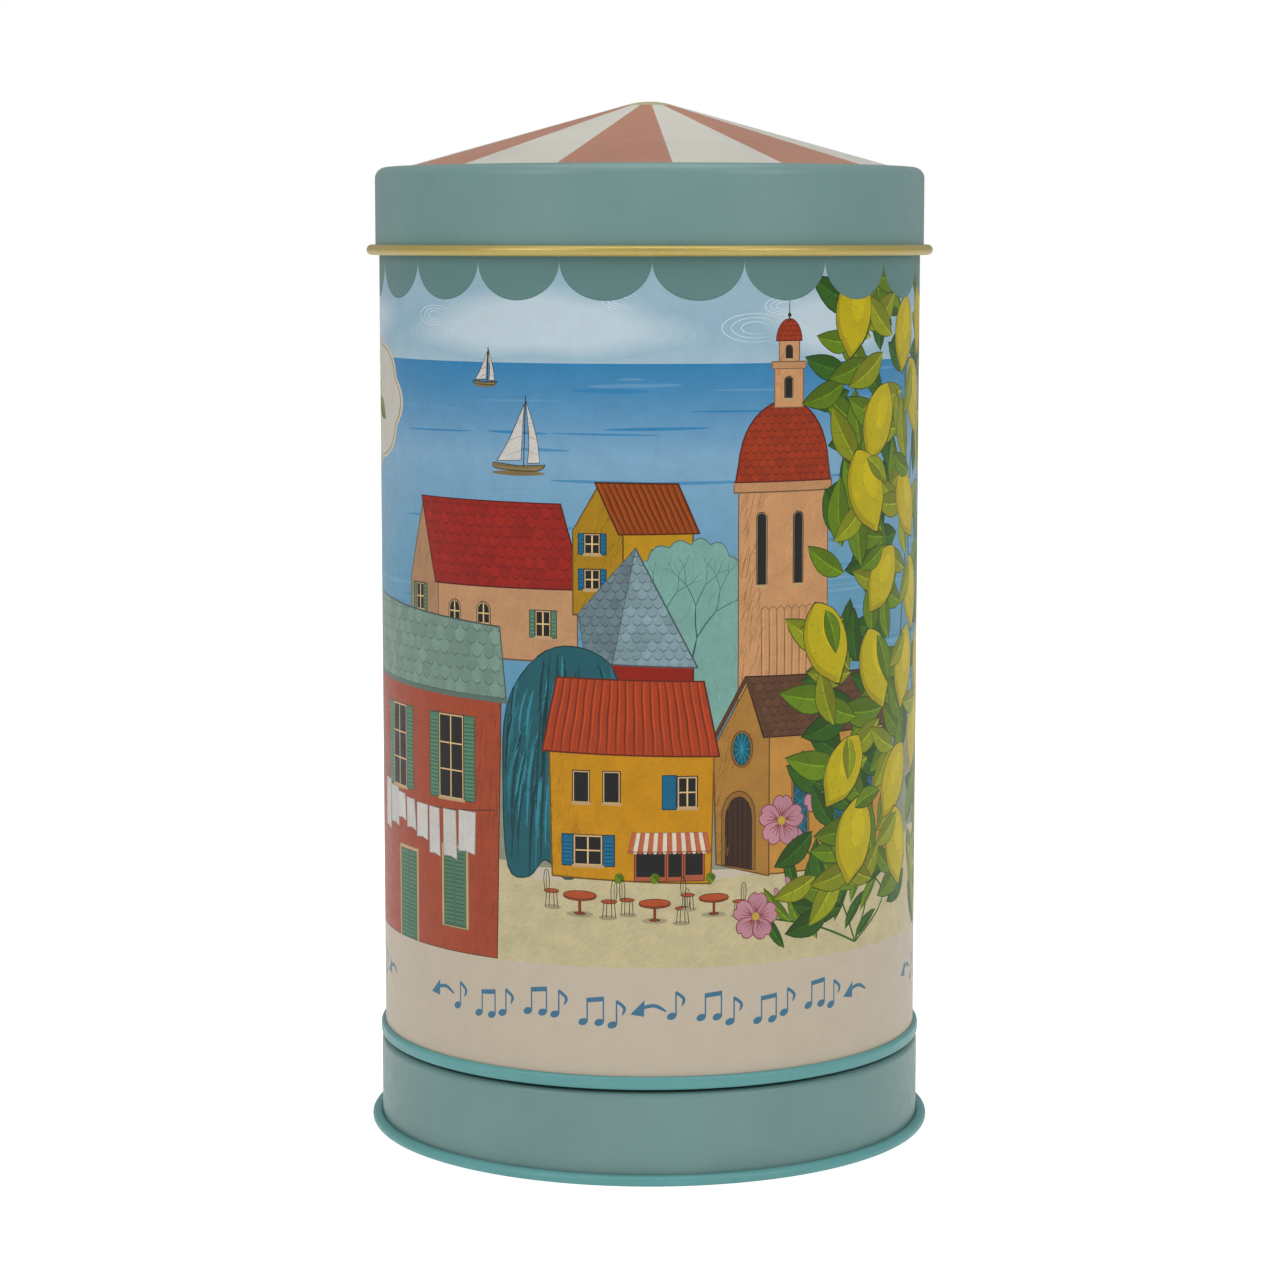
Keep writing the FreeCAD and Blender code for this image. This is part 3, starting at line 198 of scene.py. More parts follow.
class TinStage(bpy.types.PropertyGroup):
    """Camera and light."""

    distance: length_property("Distance", "Camera to the axis of the tin", 0.6803)
    height: length_property("Height", "Camera above the floor", 0.1781)
    lens: FloatProperty(name="Lens", description="Focal length in millimetres", default=95.8)
    tilt: FloatProperty(
        name="Tilt", description="How far the camera looks down", subtype="ANGLE", default=math.radians(6.79)
    )
    pan: FloatProperty(
        name="Pan", description="How far the camera looks left", subtype="ANGLE", default=math.radians(0.16)
    )
    surround: FloatProperty(name="Surround", description="Light from the white surround", default=0.33)
    glow: FloatProperty(name="Glow", description="Light from the lit white floor", default=0.25)
    key: FloatProperty(name="Key", description="Power of each softbox in watts", default=3.0)


# ---------------------------------------------------------------- finishes


class Finish:
    """One material, with short calls for its nodes. Patterns lie on Object coordinates."""

    def __init__(self, name):
        self.material = bpy.data.materials.new(name)
        self.material.use_nodes = True
        self.tree = self.material.node_tree
        self.shader = self.tree.nodes["Principled BSDF"]
        self.place = self.node("ShaderNodeTexCoord").outputs["Object"]

    def node(self, kind, inputs=None, **settings):
        made = self.tree.nodes.new(kind)
        for key, value in settings.items():
            setattr(made, key, value)
        for key, value in (inputs or {}).items():
            self.feed(made.inputs[key], value)
        return made

    def feed(self, socket, value):
        if isinstance(value, bpy.types.NodeSocket):
            self.tree.links.new(value, socket)
        else:
            socket.default_value = (*value, 1.0) if socket.type == "RGBA" and len(value) == 3 else value

    def surface(self, **values):
        """Sets the shader's sockets; a double underscore in a name stands for a space."""
        for key, value in values.items():
            self.feed(self.shader.inputs[key.replace("__", " ")], value)

    def noise(self, scale, detail=2.0, stretch=(1, 1, 1), vector=None):
        """Noise with scale features to the metre, from 0 to 1."""
        spread = self.node("ShaderNodeMapping", {"Vector": vector or self.place, "Scale": stretch})
        return self.node(
            "ShaderNodeTexNoise", {"Vector": spread.outputs["Vector"], "Scale": scale, "Detail": detail}
        ).outputs["Fac"]

    def between(self, value, low, high, to_low=0.0, to_high=1.0):
        """Value's stretch from low to high, taken to another stretch."""
        return self.node(
            "ShaderNodeMapRange",
            {"Value": value, "From Min": low, "From Max": high, "To Min": to_low, "To Max": to_high},
        ).outputs["Result"]

    def sum(self, operation, a, b=0.0):
        return self.node("ShaderNodeMath", {0: a, 1: b}, operation=operation).outputs["Value"]

    def mix(self, share, a, b, blend="MIX"):
        made = self.node("ShaderNodeMix", data_type="RGBA", blend_type=blend)
        for socket, value in ((made.inputs[0], share), (made.inputs[6], a), (made.inputs[7], b)):
            self.feed(socket, value)
        return made.outputs[2]

    def shade(self, colour, value):
        """Colour made lighter or darker by value, which is about 1."""
        return self.node("ShaderNodeHueSaturation", {"Value": value, "Color": colour}).outputs["Color"]

    def bump(self, height, depth):
        """Relief of that depth in metres."""
        made = self.node("ShaderNodeBump", {"Height": height, "Distance": depth, "Strength": 1.0})
        self.feed(self.shader.inputs["Normal"], made.outputs["Normal"])

    def radius_and_height(self):
        axis = self.node("ShaderNodeSeparateXYZ", {"Vector": self.place})
        x, y, z = (axis.outputs[n] for n in range(3))
        square = self.sum("ADD", self.sum("MULTIPLY", x, x), self.sum("MULTIPLY", y, y))
        return self.sum("SQRT", square), z, self.sum("ARCTAN2", x, self.sum("MULTIPLY", y, -1.0))


def coated(name, colour, rough=0.36, peel=3e-6, coat=0.12):
    """Roller-coated enamel on tinplate: faint mottling, orange peel and fine pits."""
    made = Finish(name)
    coat_of(made, colour, rough, peel, coat)
    return made.material


def coat_of(made, colour, rough, peel, coat):
    mottle = made.between(made.noise(70, 3), 0.3, 0.7, 0.955, 1.045)
    grain = made.between(made.noise(2600, 2), 0.3, 0.7, 0.975, 1.025)
    worn = made.between(made.noise(420, 4), 0.3, 0.7, rough - 0.05, rough + 0.07)
    relief = made.sum("ADD", made.noise(1150, 2), made.sum("MULTIPLY", made.noise(5200, 1), 0.35))
    tone = made.shade(made.shade(colour, mottle), grain)
    made.surface(Base__Color=tone, Roughness=worn, Coat__Weight=coat, Coat__Roughness=0.25)
    made.surface(Specular__IOR__Level=0.3)
    made.bump(relief, peel)


def bare_tin(name):
    """Bright tinplate with rolling lines and a spangle."""
    made = Finish(name)
    lines = made.noise(900, 3, stretch=(1, 1, 0.05))
    spangle = made.node("ShaderNodeTexVoronoi", {"Vector": made.place, "Scale": 330.0}).outputs["Color"]
    tone = made.mix(0.10, (0.60, 0.60, 0.575), spangle, "OVERLAY")
    made.surface(Base__Color=made.shade(tone, made.between(lines, 0.3, 0.7, 0.93, 1.05)), Metallic=1.0)
    made.surface(Roughness=made.between(made.noise(260, 4), 0.3, 0.7, 0.26, 0.4))
    made.bump(lines, 1.5e-6)
    return made.material


def roof_enamel(inks, sizes):
    """The lid's top: radial stripes in two inks, a gold tip, a thin gold ring and the teal shoulder."""
    made = Finish("roof enamel")
    radius, height, angle = made.radius_and_height()
    pair = 2 * math.pi / 7
    edge = math.radians(5.0)
    turn = made.sum("DIVIDE", made.sum("ADD", angle, 4 * pair - edge), pair)
    share = made.sum("FRACT", turn)
    soft = 0.0012
    rising = made.between(share, 0.5 - soft, 0.5 + soft)
    falling = made.between(share, 1 - soft, 1.0)
    starting = made.between(share, 0.0, soft, 1.0, 0.0)
    red = made.sum("MAXIMUM", made.sum("SUBTRACT", rising, falling), starting)
    colour = made.mix(red, tuple(inks.stripe_cream), tuple(inks.stripe_red))
    wobble = made.sum("MULTIPLY", made.sum("SUBTRACT", made.noise(90), 0.5), 0.3 * MM)
    where = made.sum("ADD", radius, wobble)
    ring = sizes.roof_foot + 0.9 * MM
    colour = made.mix(made.between(where, ring, ring + 0.06 * MM), colour, linear("8c6a33"))
    colour = made.mix(made.between(where, ring + 0.35 * MM, ring + 0.42 * MM), colour, tuple(inks.enamel))
    colour = made.mix(made.between(where, 5.0 * MM, 5.1 * MM, 1.0, 0.0), colour, tuple(inks.cap))
    coat_of(made, colour, 0.36, 3e-6, 0.12)
    return made.material


def metal(name, colour, rough, lines=(1, 1, 1), scale=1400, dull=0.08, relief=1e-6):
    """A worked metal: tool lines along one direction, and patches that have dulled."""
    made = Finish(name)
    marks = made.noise(scale, 4, stretch=lines)
    patch = made.noise(240, 4)
    tone = made.shade(linear(colour), made.between(marks, 0.3, 0.7, 0.9, 1.07))
    tone = made.mix(made.between(patch, 0.45, 0.75, 0.0, dull * 4), tone, made.shade(linear(colour), 0.72))
    made.surface(Base__Color=tone, Metallic=1.0, Roughness=made.between(patch, 0.3, 0.7, rough, rough + dull))
    made.bump(marks, relief)
    return made.material


def plastic(name, colour, rough, texture=1500, relief=4e-6, milk=0.0):
    """Moulded plastic: fine spark-eroded texture, flow marks and slight shine."""
    made = Finish(name)
    flow = made.noise(110, 3, stretch=(1, 1, 0.4))
    skin = made.noise(texture, 3)
    made.surface(Base__Color=made.shade(linear(colour), made.between(flow, 0.3, 0.7, 0.93, 1.06)))
    made.surface(Roughness=made.between(skin, 0.3, 0.7, rough - 0.06, rough + 0.08))
    if milk:
        made.surface(Subsurface__Weight=milk, Subsurface__Radius=(0.001, 0.001, 0.0009))
    made.bump(skin, relief)
    return made.material


def printed_ink():
    """The wrap's inks: gouache washes and pencil tooth over each ink's own colour, under a satin varnish."""
    made = Finish("printed ink")
    ink = made.node("ShaderNodeAttribute", attribute_name="ink").outputs["Color"]
    tooth = made.node("ShaderNodeAttribute", attribute_name="tooth").outputs["Fac"]
    flat = made.node("ShaderNodeUVMap", uv_map="flat").outputs["UV"]
    lean = made.node(
        "ShaderNodeMapping", {"Vector": flat, "Rotation": (0, 0, math.radians(58))}
    ).outputs["Vector"]
    pencil = made.noise(2600, 3, stretch=(1, 0.22, 1), vector=lean)
    paper = made.noise(5200, 2, vector=flat)
    wash = made.noise(230, 5, vector=flat)
    marks = made.sum(
        "ADD", made.between(pencil, 0.25, 0.75, -0.09, 0.09), made.between(paper, 0.3, 0.7, -0.08, 0.08)
    )
    marks = made.sum("ADD", marks, made.between(wash, 0.3, 0.7, -0.08, 0.08))
    tone = made.shade(ink, made.sum("ADD", 1.0, made.sum("MULTIPLY", marks, tooth)))
    made.surface(Base__Color=tone, Coat__Weight=0.08, Coat__Roughness=0.22, Specular__IOR__Level=0.22)
    made.surface(Roughness=made.between(made.noise(500, 3), 0.3, 0.7, 0.36, 0.46))
    peel = made.sum("ADD", made.noise(1150, 2), made.sum("MULTIPLY", paper, 0.3))
    made.bump(peel, 2.5e-6)
    return made.material


# ---------------------------------------------------------------- turned sheet metal


class Section:
    """The closed outline of a turned piece: points (radius, height), each with its run's finish."""

    def __init__(self):
        self.points, self.finishes, self.finish = [], [], 0

    def to(self, *points):
        for radius, height in points:
            self.points.append((radius, 0.0, height))
            self.finishes.append(self.finish)
        return self

    def arc(self, centre, radius, start, end, steps=8):
        """Points along an arc, angles in degrees from the outward direction, both ends in."""
        for n in range(steps + 1):
            angle = math.radians(start + (end - start) * n / steps)
            self.to((centre[0] + radius * math.cos(angle), centre[1] + radius * math.sin(angle)))
        return self

    def coat(self, finish):
        self.finish = finish
        return self


def turned_tree():
    """Geometry Nodes: turns a section about Z and gives each face the finish of its run."""
    tree = bpy.data.node_groups.new("turned section", "GeometryNodeTree")
    sockets = tree.interface
    sockets.new_socket("Section", in_out="INPUT", socket_type="NodeSocketGeometry")
    sockets.new_socket("Steps", in_out="INPUT", socket_type="NodeSocketInt")
    for n in range(FINISHES):
        sockets.new_socket(f"Finish {n}", in_out="INPUT", socket_type="NodeSocketMaterial")
    sockets.new_socket("Turned", in_out="OUTPUT", socket_type="NodeSocketGeometry")

    def node(kind, inputs=None, **settings):
        made = tree.nodes.new(kind)
        for key, value in settings.items():
            setattr(made, key, value)
        for key, value in (inputs or {}).items():
            if isinstance(value, bpy.types.NodeSocket):
                tree.links.new(value, made.inputs[key])
            else:
                made.inputs[key].default_value = value
        return made

    def whole(operation, a, b):
        return node("FunctionNodeIntegerMath", {0: a, 1: b}, operation=operation).outputs[0]

    given = node("NodeGroupInput").outputs
    rows = node(
        "GeometryNodeAttributeDomainSize", {"Geometry": given["Section"]}, component="MESH"
    ).outputs[0]
    row_points = whole("ADD", rows, 1)
    grid = node(
        "GeometryNodeMeshGrid", {"Vertices X": whole("ADD", given["Steps"], 1), "Vertices Y": row_points}
    )
    index = node("GeometryNodeInputIndex").outputs[0]
    row = whole("MODULO", whole("MODULO", index, row_points), rows)
    column = whole("DIVIDE_FLOOR", index, row_points)
    spot = node(
        "GeometryNodeSampleIndex",
        {"Geometry": given["Section"], "Value": node("GeometryNodeInputPosition").outputs[0], "Index": row},
        data_type="FLOAT_VECTOR", domain="POINT",
    ).outputs[0]
    part = node("ShaderNodeMath", {0: column, 1: given["Steps"]}, operation="DIVIDE").outputs[0]
    angle = node("ShaderNodeMath", {0: part, 1: 2 * math.pi}, operation="MULTIPLY").outputs[0]
    turned = node(
        "ShaderNodeVectorRotate", {"Vector": spot, "Angle": angle}, rotation_type="Z_AXIS"
    ).outputs[0]
    shaped = node("GeometryNodeSetPosition", {"Geometry": grid.outputs[0], "Position": turned}).outputs[0]
    run = node("GeometryNodeInputNamedAttribute", {"Name": "finish"}, data_type="INT").outputs[0]
    face_run = node(
        "GeometryNodeSampleIndex",
        {"Geometry": given["Section"], "Value": run, "Index": whole("MODULO", index, rows)},
        data_type="INT", domain="POINT",
    ).outputs[0]
    marked = node(
        "GeometryNodeStoreNamedAttribute",
        {"Geometry": shaped, "Name": "finish", "Value": face_run},
        data_type="INT", domain="FACE",
    ).outputs[0]
    closed = node("GeometryNodeMergeByDistance", {"Geometry": marked, "Distance": 1e-7}).outputs[0]
    smooth = node("GeometryNodeSetShadeSmooth", {"Geometry": closed}).outputs[0]
    result = node("GeometryNodeRealizeInstances", {"Geometry": smooth}).outputs[0]
    for n in range(FINISHES):
        run = node("GeometryNodeInputNamedAttribute", {"Name": "finish"}, data_type="INT").outputs[0]
        chosen = node("FunctionNodeCompare", {2: run, 3: n}, data_type="INT", operation="EQUAL").outputs[0]
        result = node(
            "GeometryNodeSetMaterial",
            {"Geometry": result, "Selection": chosen, "Material": given[f"Finish {n}"]},
        ).outputs[0]
    node("NodeGroupOutput", {"Turned": result})
    return tree


FINISHES = 3


def turn(name, section, finishes, steps):
    """A turned piece as a plain mesh, with its faces outwards and its folds sharp."""
    mesh = bpy.data.meshes.new(name)
    count = len(section.points)
    mesh.from_pydata(section.points, [(n, (n + 1) % count) for n in range(count)], [])
    mesh.attributes.new("finish", "INT", "POINT").data.foreach_set("value", section.finishes)
    piece = bpy.data.objects.new(name, mesh)
    bpy.context.scene.collection.objects.link(piece)
    tree = bpy.data.node_groups.get("turned section") or turned_tree()
    modifier = piece.modifiers.new("turned", "NODES")
    modifier.node_group = tree
    inputs = {s.name: s.identifier for s in tree.interface.items_tree if s.in_out == "INPUT"}
    modifier[inputs["Steps"]] = steps
    for n, finish in enumerate(finishes):
        modifier[inputs[f"Finish {n}"]] = finish
    plain(piece)
    return piece


def plain(piece):
    """Turns a piece's modifiers into its mesh."""
    bpy.context.view_layer.update()
    evaluated = piece.evaluated_get(bpy.context.evaluated_depsgraph_get())
    mesh = bpy.data.meshes.new_from_object(evaluated)
    piece.modifiers.clear()
    old = piece.data
    piece.data = mesh
    bpy.data.meshes.remove(old)
    mesh.name = piece.name
    made = bmesh.new()
    made.from_mesh(mesh)
    if made.calc_volume(signed=True) < 0:
        bmesh.ops.reverse_faces(made, faces=made.faces)
    made.to_mesh(mesh)
    made.free()
    mesh.set_sharp_from_angle(angle=math.radians(38))


def settle(piece, body, slot, *nodes):
    """A finished piece rides on its body, and the CAD nodes it takes the place of are hidden."""
    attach(piece, body)
    if nodes:
        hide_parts(*nodes)
    return piece


def outward_curl(section, wall, bottom, sizes, flat=0.0):
    """A rolled edge below a wall, from the wall's outer face round inside the roll and back outside it."""
    near, far = (wall + sizes.curl, bottom + sizes.curl), (wall + sizes.curl + flat, bottom + sizes.curl)
    small = sizes.curl - sizes.sheet
    section.arc(near, small, 180, 270, 6).arc(far, small, 270, 450, 12)
    section.arc(near, small, 452, 490, 4).arc(near, sizes.curl, 490, 452, 5)
    section.arc(far, sizes.curl, 450, 270, 18).arc(near, sizes.curl, 270, 180, 9)


def lid_skirt_enamel(inks, bottom, sizes):
    """Teal above, gold lacquer on the rolled edge."""
    made = Finish("lid skirt enamel")
    _, height, _ = made.radius_and_height()
    coat_of(made, tuple(inks.enamel), 0.36, 3e-6, 0.12)
    gold = made.between(height, bottom + 2.35 * sizes.curl, bottom + 2.45 * sizes.curl, 1.0, 0.0)
    speck = made.between(made.noise(5200, 1), 0.56, 0.72, 0.0, 0.35)
    lacquer = made.mix(speck, tuple(inks.gold), linear("e6d9a0"))
    enamel = made.shader.inputs["Base Color"].links[0].from_socket
    made.surface(Base__Color=made.mix(gold, enamel, lacquer), Metallic=made.sum("MULTIPLY", gold, 0.45))
    return made.material


def base_skirt_with_painted_highlight(inks, sizes):
    """Teal, brighter on the rolled foot: painted highlight where the curl catches the light."""
    made = Finish("base skirt with painted highlight")
    _, height, _ = made.radius_and_height()
    # Painted highlight: below this height the rolled foot takes the brighter teal in place of the light that
    # the curl catches.
    foot = made.between(height, 2.0 * sizes.curl, 2.4 * sizes.curl, 1.0, 0.0)
    coat_of(made, made.mix(foot, tuple(inks.enamel), tuple(inks.enamel_bright)), 0.36, 3e-6, 0.12)
    return made.material


def side_seam(sizes, tin):
    """The folded lap inside the back of the wall, as a rounded strip along the wall's inner face."""
    outer, top, _ = wall_levels(sizes)
    _, low = seam_levels()
    inner = outer - sizes.sheet
    half, rows = math.radians(2.75), 12
    low, high = low + 4 * MM, top - 2 * sizes.rim_curl - 1.5 * MM
    verts = []
    for z in (low, high):
        for depth in (1.0, 0.0):
            for n in range(rows + 1):
                angle = math.pi / 2 + sizes.lap_turn + half * (2 * n / rows - 1)
                bulge = depth * sizes.sheet * math.sin(math.pi * n / rows) ** 0.25
                radius = inner + 0.05 * MM - (bulge + 0.02 * MM if depth else 0.0)
                verts.append((radius * math.cos(angle), radius * math.sin(angle), z))
    made = bmesh.new()
    spots = [made.verts.new(v) for v in verts]
    ring = rows + 1
    loop = [*range(ring), *reversed(range(ring, 2 * ring))]
    for a, b in zip(loop, loop[1:] + loop[:1]):
        made.faces.new((spots[a], spots[b], spots[b + 2 * ring], spots[a + 2 * ring]))
    made.faces.new([spots[n] for n in reversed(loop)])
    made.faces.new([spots[n + 2 * ring] for n in loop])
    bmesh.ops.recalc_face_normals(made, faces=made.faces)
    if made.calc_volume(signed=True) < 0:
        bmesh.ops.reverse_faces(made, faces=made.faces)
    mesh = bpy.data.meshes.new("side_seam")
    made.to_mesh(mesh)
    made.free()
    mesh.materials.append(tin)
    for face in mesh.polygons:
        face.use_smooth = True
    mesh.set_sharp_from_angle(angle=math.radians(38))
    piece = bpy.data.objects.new("side_seam", mesh)
    bpy.context.scene.collection.objects.link(piece)
    return piece


# ---------------------------------------------------------------- the flat sheet of artwork, in millimetres


PANELS = 16  # the wrap's panels round the canister


class Artwork:
    """Inks laid one over another on the flat sheet: u runs round the wall from the front, z up it."""

    def __init__(self, around, low, high):
        self.around, self.low, self.high = around, low, high
        self.shapes = []
        self.random = random.Random(7)

    def fill(self, points, ink, tooth=1.0, within=None, above=None):
        """Lays an ink over an outline, only where it falls on the shape numbered within. Above is a second
        ink that the first fades into towards the top."""
        twice = sum(a[0] * b[1] - b[0] * a[1] for a, b in zip(points, points[1:] + points[:1]))
        outline = points if twice > 0 else points[::-1]
        levels = [z for _, z in points]
        inks = tuple(ink), tuple(above or ink)
        self.shapes.append((outline, *inks, min(levels), max(levels), tooth, within))
        return len(self.shapes) - 1


def roll_panel(name, art, start, end, sizes, outer, ink):
    """One panel of the wrap as a thin closed shell: the inks outside, bare tin behind."""
    corners = [(start, art.low), (end, art.low), (end, art.high), (start, art.high)]
    verts, faces, owners = [Vector(c) for c in corners], [[0, 1, 2, 3]], [None]
    for number, (points, *_) in enumerate(art.shapes):
        left, right = min(u for u, _ in points), max(u for u, _ in points)
        for shift in (-art.around, 0.0, art.around):
            if right + shift > start and left + shift < end:
                faces.append(list(range(len(verts), len(verts) + len(points))))
                verts.extend(Vector((u + shift, z)) for u, z in points)
                owners.append((number, shift))
    columns = sizes.columns // PANELS
    edges = column_edges(verts, start, end, art, columns)
    flat, _, cells, _, _, covered = delaunay_2d_cdt(verts, edges, faces, 0, 1e-5, True)
    kept = [n for n, over in enumerate(covered) if 0 in over]
    middles = [sum((flat[v] for v in cells[n]), Vector((0, 0))) / len(cells[n]) for n in kept]
    tops = [topmost(art, owners, covered[n], spot) for n, spot in zip(kept, middles)]
    cells = [cells[n] for n in kept]
    return shell_of(name, art, flat, cells, tops, (start, end, columns), sizes, outer, ink)


def column_edges(verts, start, end, art, columns):
    """Adds upright lines to the sheet, so that it bends evenly when it is rolled."""
    edges = []
    for n in range(1, columns):
        u = start + (end - start) * n / columns
        edges.append((len(verts), len(verts) + 1))
        verts.extend((Vector((u, art.low)), Vector((u, art.high))))
    return edges


def topmost(art, owners, covered, spot):
    """The number of the last ink on a cell that its own mask lets through."""
    over = {owners[n] for n in covered if n}
    for number, shift in sorted(over, reverse=True):
        shape = art.shapes[number]
        within = shape[6]
        if within is not None and (within, shift) not in over:
            continue
        if holds(shape[0], spot.x - shift, spot.y):
            return number
    raise RuntimeError("a cell of the wrap has no ink")


def holds(outline, u, z):
    """Whether a point lies inside an outline."""
    inside = False
    for (a, low), (b, high) in zip(outline, outline[1:] + outline[:1]):
        if (low > z) != (high > z) and u < a + (b - a) * (z - low) / (high - low):
            inside = not inside
    return inside


def shell_of(name, art, flat, cells, tops, span, sizes, outer, ink):
    """Rolls the cells, closes the panel behind them and stores each cell's ink."""
    start, end, columns = span
    used = sorted({v for cell in cells for v in cell})
    number = {v: n for n, v in enumerate(used)}
    flat = [flat[v] for v in used]
    cells = [[number[v] for v in cell] for cell in cells]
    sides = {}
    for cell in cells:
        for a, b in zip(cell, cell[1:] + cell[:1]):
            sides[a, b] = sides.get((a, b), 0) + 1
    rim = [(a, b) for a, b in sides if (b, a) not in sides]
    behind = {v: len(flat) + n for n, v in enumerate(sorted({v for edge in rim for v in edge}))}
    back = back_cells(flat, rim, behind, start, end, columns)

    def rolled(spot, radius):
        angle = spot.x * MM / outer
        return radius * math.sin(angle), -radius * math.cos(angle), spot.y * MM

    points = [rolled(p, outer) for p in flat] + [rolled(flat[v], outer - sizes.skin) for v in behind]
    strips = [(b, a, behind[a], behind[b]) for a, b in rim]
    mesh = bpy.data.meshes.new(name)
    mesh.from_pydata(points, [], [*cells, *strips, *back])
    everywhere = flat + [flat[v] for v in behind]
    normals, colours, teeth, bake, sheet = [], [], [], [], []
    for face in mesh.polygons:
        front, rear = face.index < len(cells), face.index >= len(cells) + len(strips)
        shape = art.shapes[tops[face.index]] if front else None
        for v in face.vertices:
            spot = everywhere[v]
            angle = spot.x * MM / outer
            out = (math.sin(angle), -math.cos(angle), 0.0)
            normals.append(out if front else (-out[0], -out[1], 0.0) if rear else tuple(face.normal))
            colours.extend(ink_at(shape, spot.y) if front else (0.5, 0.5, 0.48, 1.0))
            teeth.append(shape[5] if front else 0.0)
            rise = (spot.y - art.low) / (art.high - art.low)
            bake.extend(((spot.x - start) / (end - start), 0.05 + 0.95 * rise if front else 0.02 * rise))
            sheet.extend((spot.x * MM, spot.y * MM))
    mesh.uv_layers.new(name="OFBake").uv.foreach_set("vector", bake)
    mesh.uv_layers.new(name="flat").uv.foreach_set("vector", sheet)
    mesh.attributes.new("ink", "FLOAT_COLOR", "CORNER").data.foreach_set("color", colours)
    mesh.attributes.new("tooth", "FLOAT", "CORNER").data.foreach_set("value", teeth)
    mesh.shade_smooth()
    mesh.normals_split_custom_set(normals)
    mesh.materials.append(ink)
    piece = bpy.data.objects.new(name, mesh)
    bpy.context.scene.collection.objects.link(piece)
    return piece


def back_cells(flat, rim, behind, start, end, columns):
    """The panel's plain back: the same rim, cut into upright strips."""
    after = dict(rim)
    loop = [rim[0][0]]
    while after[loop[-1]] != loop[0]:
        loop.append(after[loop[-1]])
    floor, roof = min(flat[v].y for v in loop), max(flat[v].y for v in loop)
    below = {round(flat[v].x, 3): n for n, v in enumerate(loop) if flat[v].y < floor + 1e-4}
    above = {round(flat[v].x, 3): n for n, v in enumerate(loop) if flat[v].y > roof - 1e-4}
    edges = [(below[u], above[u]) for u in sorted(set(below) & set(above))[1:-1]]
    spots = [Vector(flat[v]) for v in loop]
    _, _, faces, owners, _, over = delaunay_2d_cdt(spots, edges, [list(range(len(loop)))], 0, 1e-6, True)
    made = []
    for face, inside in zip(faces, over):
        if inside:
            made.append([behind[loop[owners[v][0]]] for v in reversed(face)])
    return made


def ink_at(shape, z):
    """A shape's ink at a height, faded from its first colour to its second."""
    _, ink, above, low, high, _, _ = shape
    share = (z - low) / (high - low) if high > low else 0.0
    return (*(a + (b - a) * share for a, b in zip(ink, above)), 1.0)


# ---------------------------------------------------------------- drawing on the sheet


PENCIL = 0.4  # how densely the pencil shades, against the counts that its calls give


def tint(ink, by):
    """An ink made lighter, above 1, or darker, below 1."""
    return tuple(min(1.0, c * by) for c in ink)


def blend_inks(a, b, share):
    return tuple(x + (y - x) * share for x, y in zip(a, b))


def moved(points, u=0.0, z=0.0, turn=0.0, size=1.0):
    """Points turned by degrees and scaled about the origin, then moved."""
    c, s = math.cos(math.radians(turn)) * size, math.sin(math.radians(turn)) * size
    return [(u + x * c - y * s, z + x * s + y * c) for x, y in points]


def oval(u, z, wide, high, turn=0.0, count=14):
    ring = [
        (wide * math.cos(2 * math.pi * n / count), high * math.sin(2 * math.pi * n / count))
        for n in range(count)
    ]
    return moved(ring, u, z, turn)


def block(left, low, right, high):
    return [(left, low), (right, low), (right, high), (left, high)]


def smooth(ends, per):
    """Points on a smooth curve that runs from the second of ends to the last but one."""
    made = []
    for corners in zip(ends, ends[1:], ends[2:], ends[3:]):
        for t in (n / per for n in range(per)):
            made.append(tuple(
                0.5 * (
                    2 * q + (r - p) * t + (2 * p - 5 * q + 4 * r - s) * t * t + (3 * q - p - 3 * r + s)
                    * t**3
                )
                for p, q, r, s in zip(*corners)
            ))
    return made


def curve(points, per=5):
    """A smooth open curve through points."""
    return [*smooth([points[0], *points, points[-1]], per), points[-1]]


def closed_curve(points, per=4):
    """A smooth closed curve through points."""
    return smooth([points[-1], *points, points[0], points[1]], per)


def stroke(art, points, width, ink, ends=(1.0, 1.0), within=None, tooth=0.4):
    """A drawn line, as one slim outline, that thins to the given shares at its ends."""
    left, right, last = [], [], len(points) - 1
    for n, (u, z) in enumerate(points):
        a, b = points[max(0, n - 1)], points[min(last, n + 1)]
        run, rise = b[0] - a[0], b[1] - a[1]
        length = math.hypot(run, rise) or 1.0
        share = n / last
        thin = ends[0] + (1 - ends[0]) * min(1.0, 3 * share)
        thin *= ends[1] + (1 - ends[1]) * min(1.0, 3 * (1 - share))
        half = max(width / 2 * thin, 0.015)
        left.append((u - rise / length * half, z + run / length * half))
        right.append((u + rise / length * half, z - run / length * half))
    art.fill(left + right[::-1], ink, tooth, within)


def edge(art, points, width, ink, within=None):
    """A drawn outline, one slim piece to a side, with small gaps and swellings as a pencil leaves."""
    for a, b in zip(points, points[1:] + points[:1]):
        long = math.dist(a, b)
        if long < 0.02:
            continue
        swell = width * art.random.uniform(0.75, 1.2)
        over = 0.25 * width / long
        start = (a[0] - (b[0] - a[0]) * over, a[1] - (b[1] - a[1]) * over)
        end = (b[0] + (b[0] - a[0]) * over, b[1] + (b[1] - a[1]) * over)
        stroke(art, [start, end], swell, ink, within=within)


def drawn(art, points, ink, tooth=1.0, line=0.3, dark=None, within=None, above=None):
    """A shape with its drawn outline; gives its number for masks."""
    number = art.fill(points, ink, tooth, within, above)
    if line:
        edge(art, points, line, dark or tint(ink, 0.35), within)
    return number


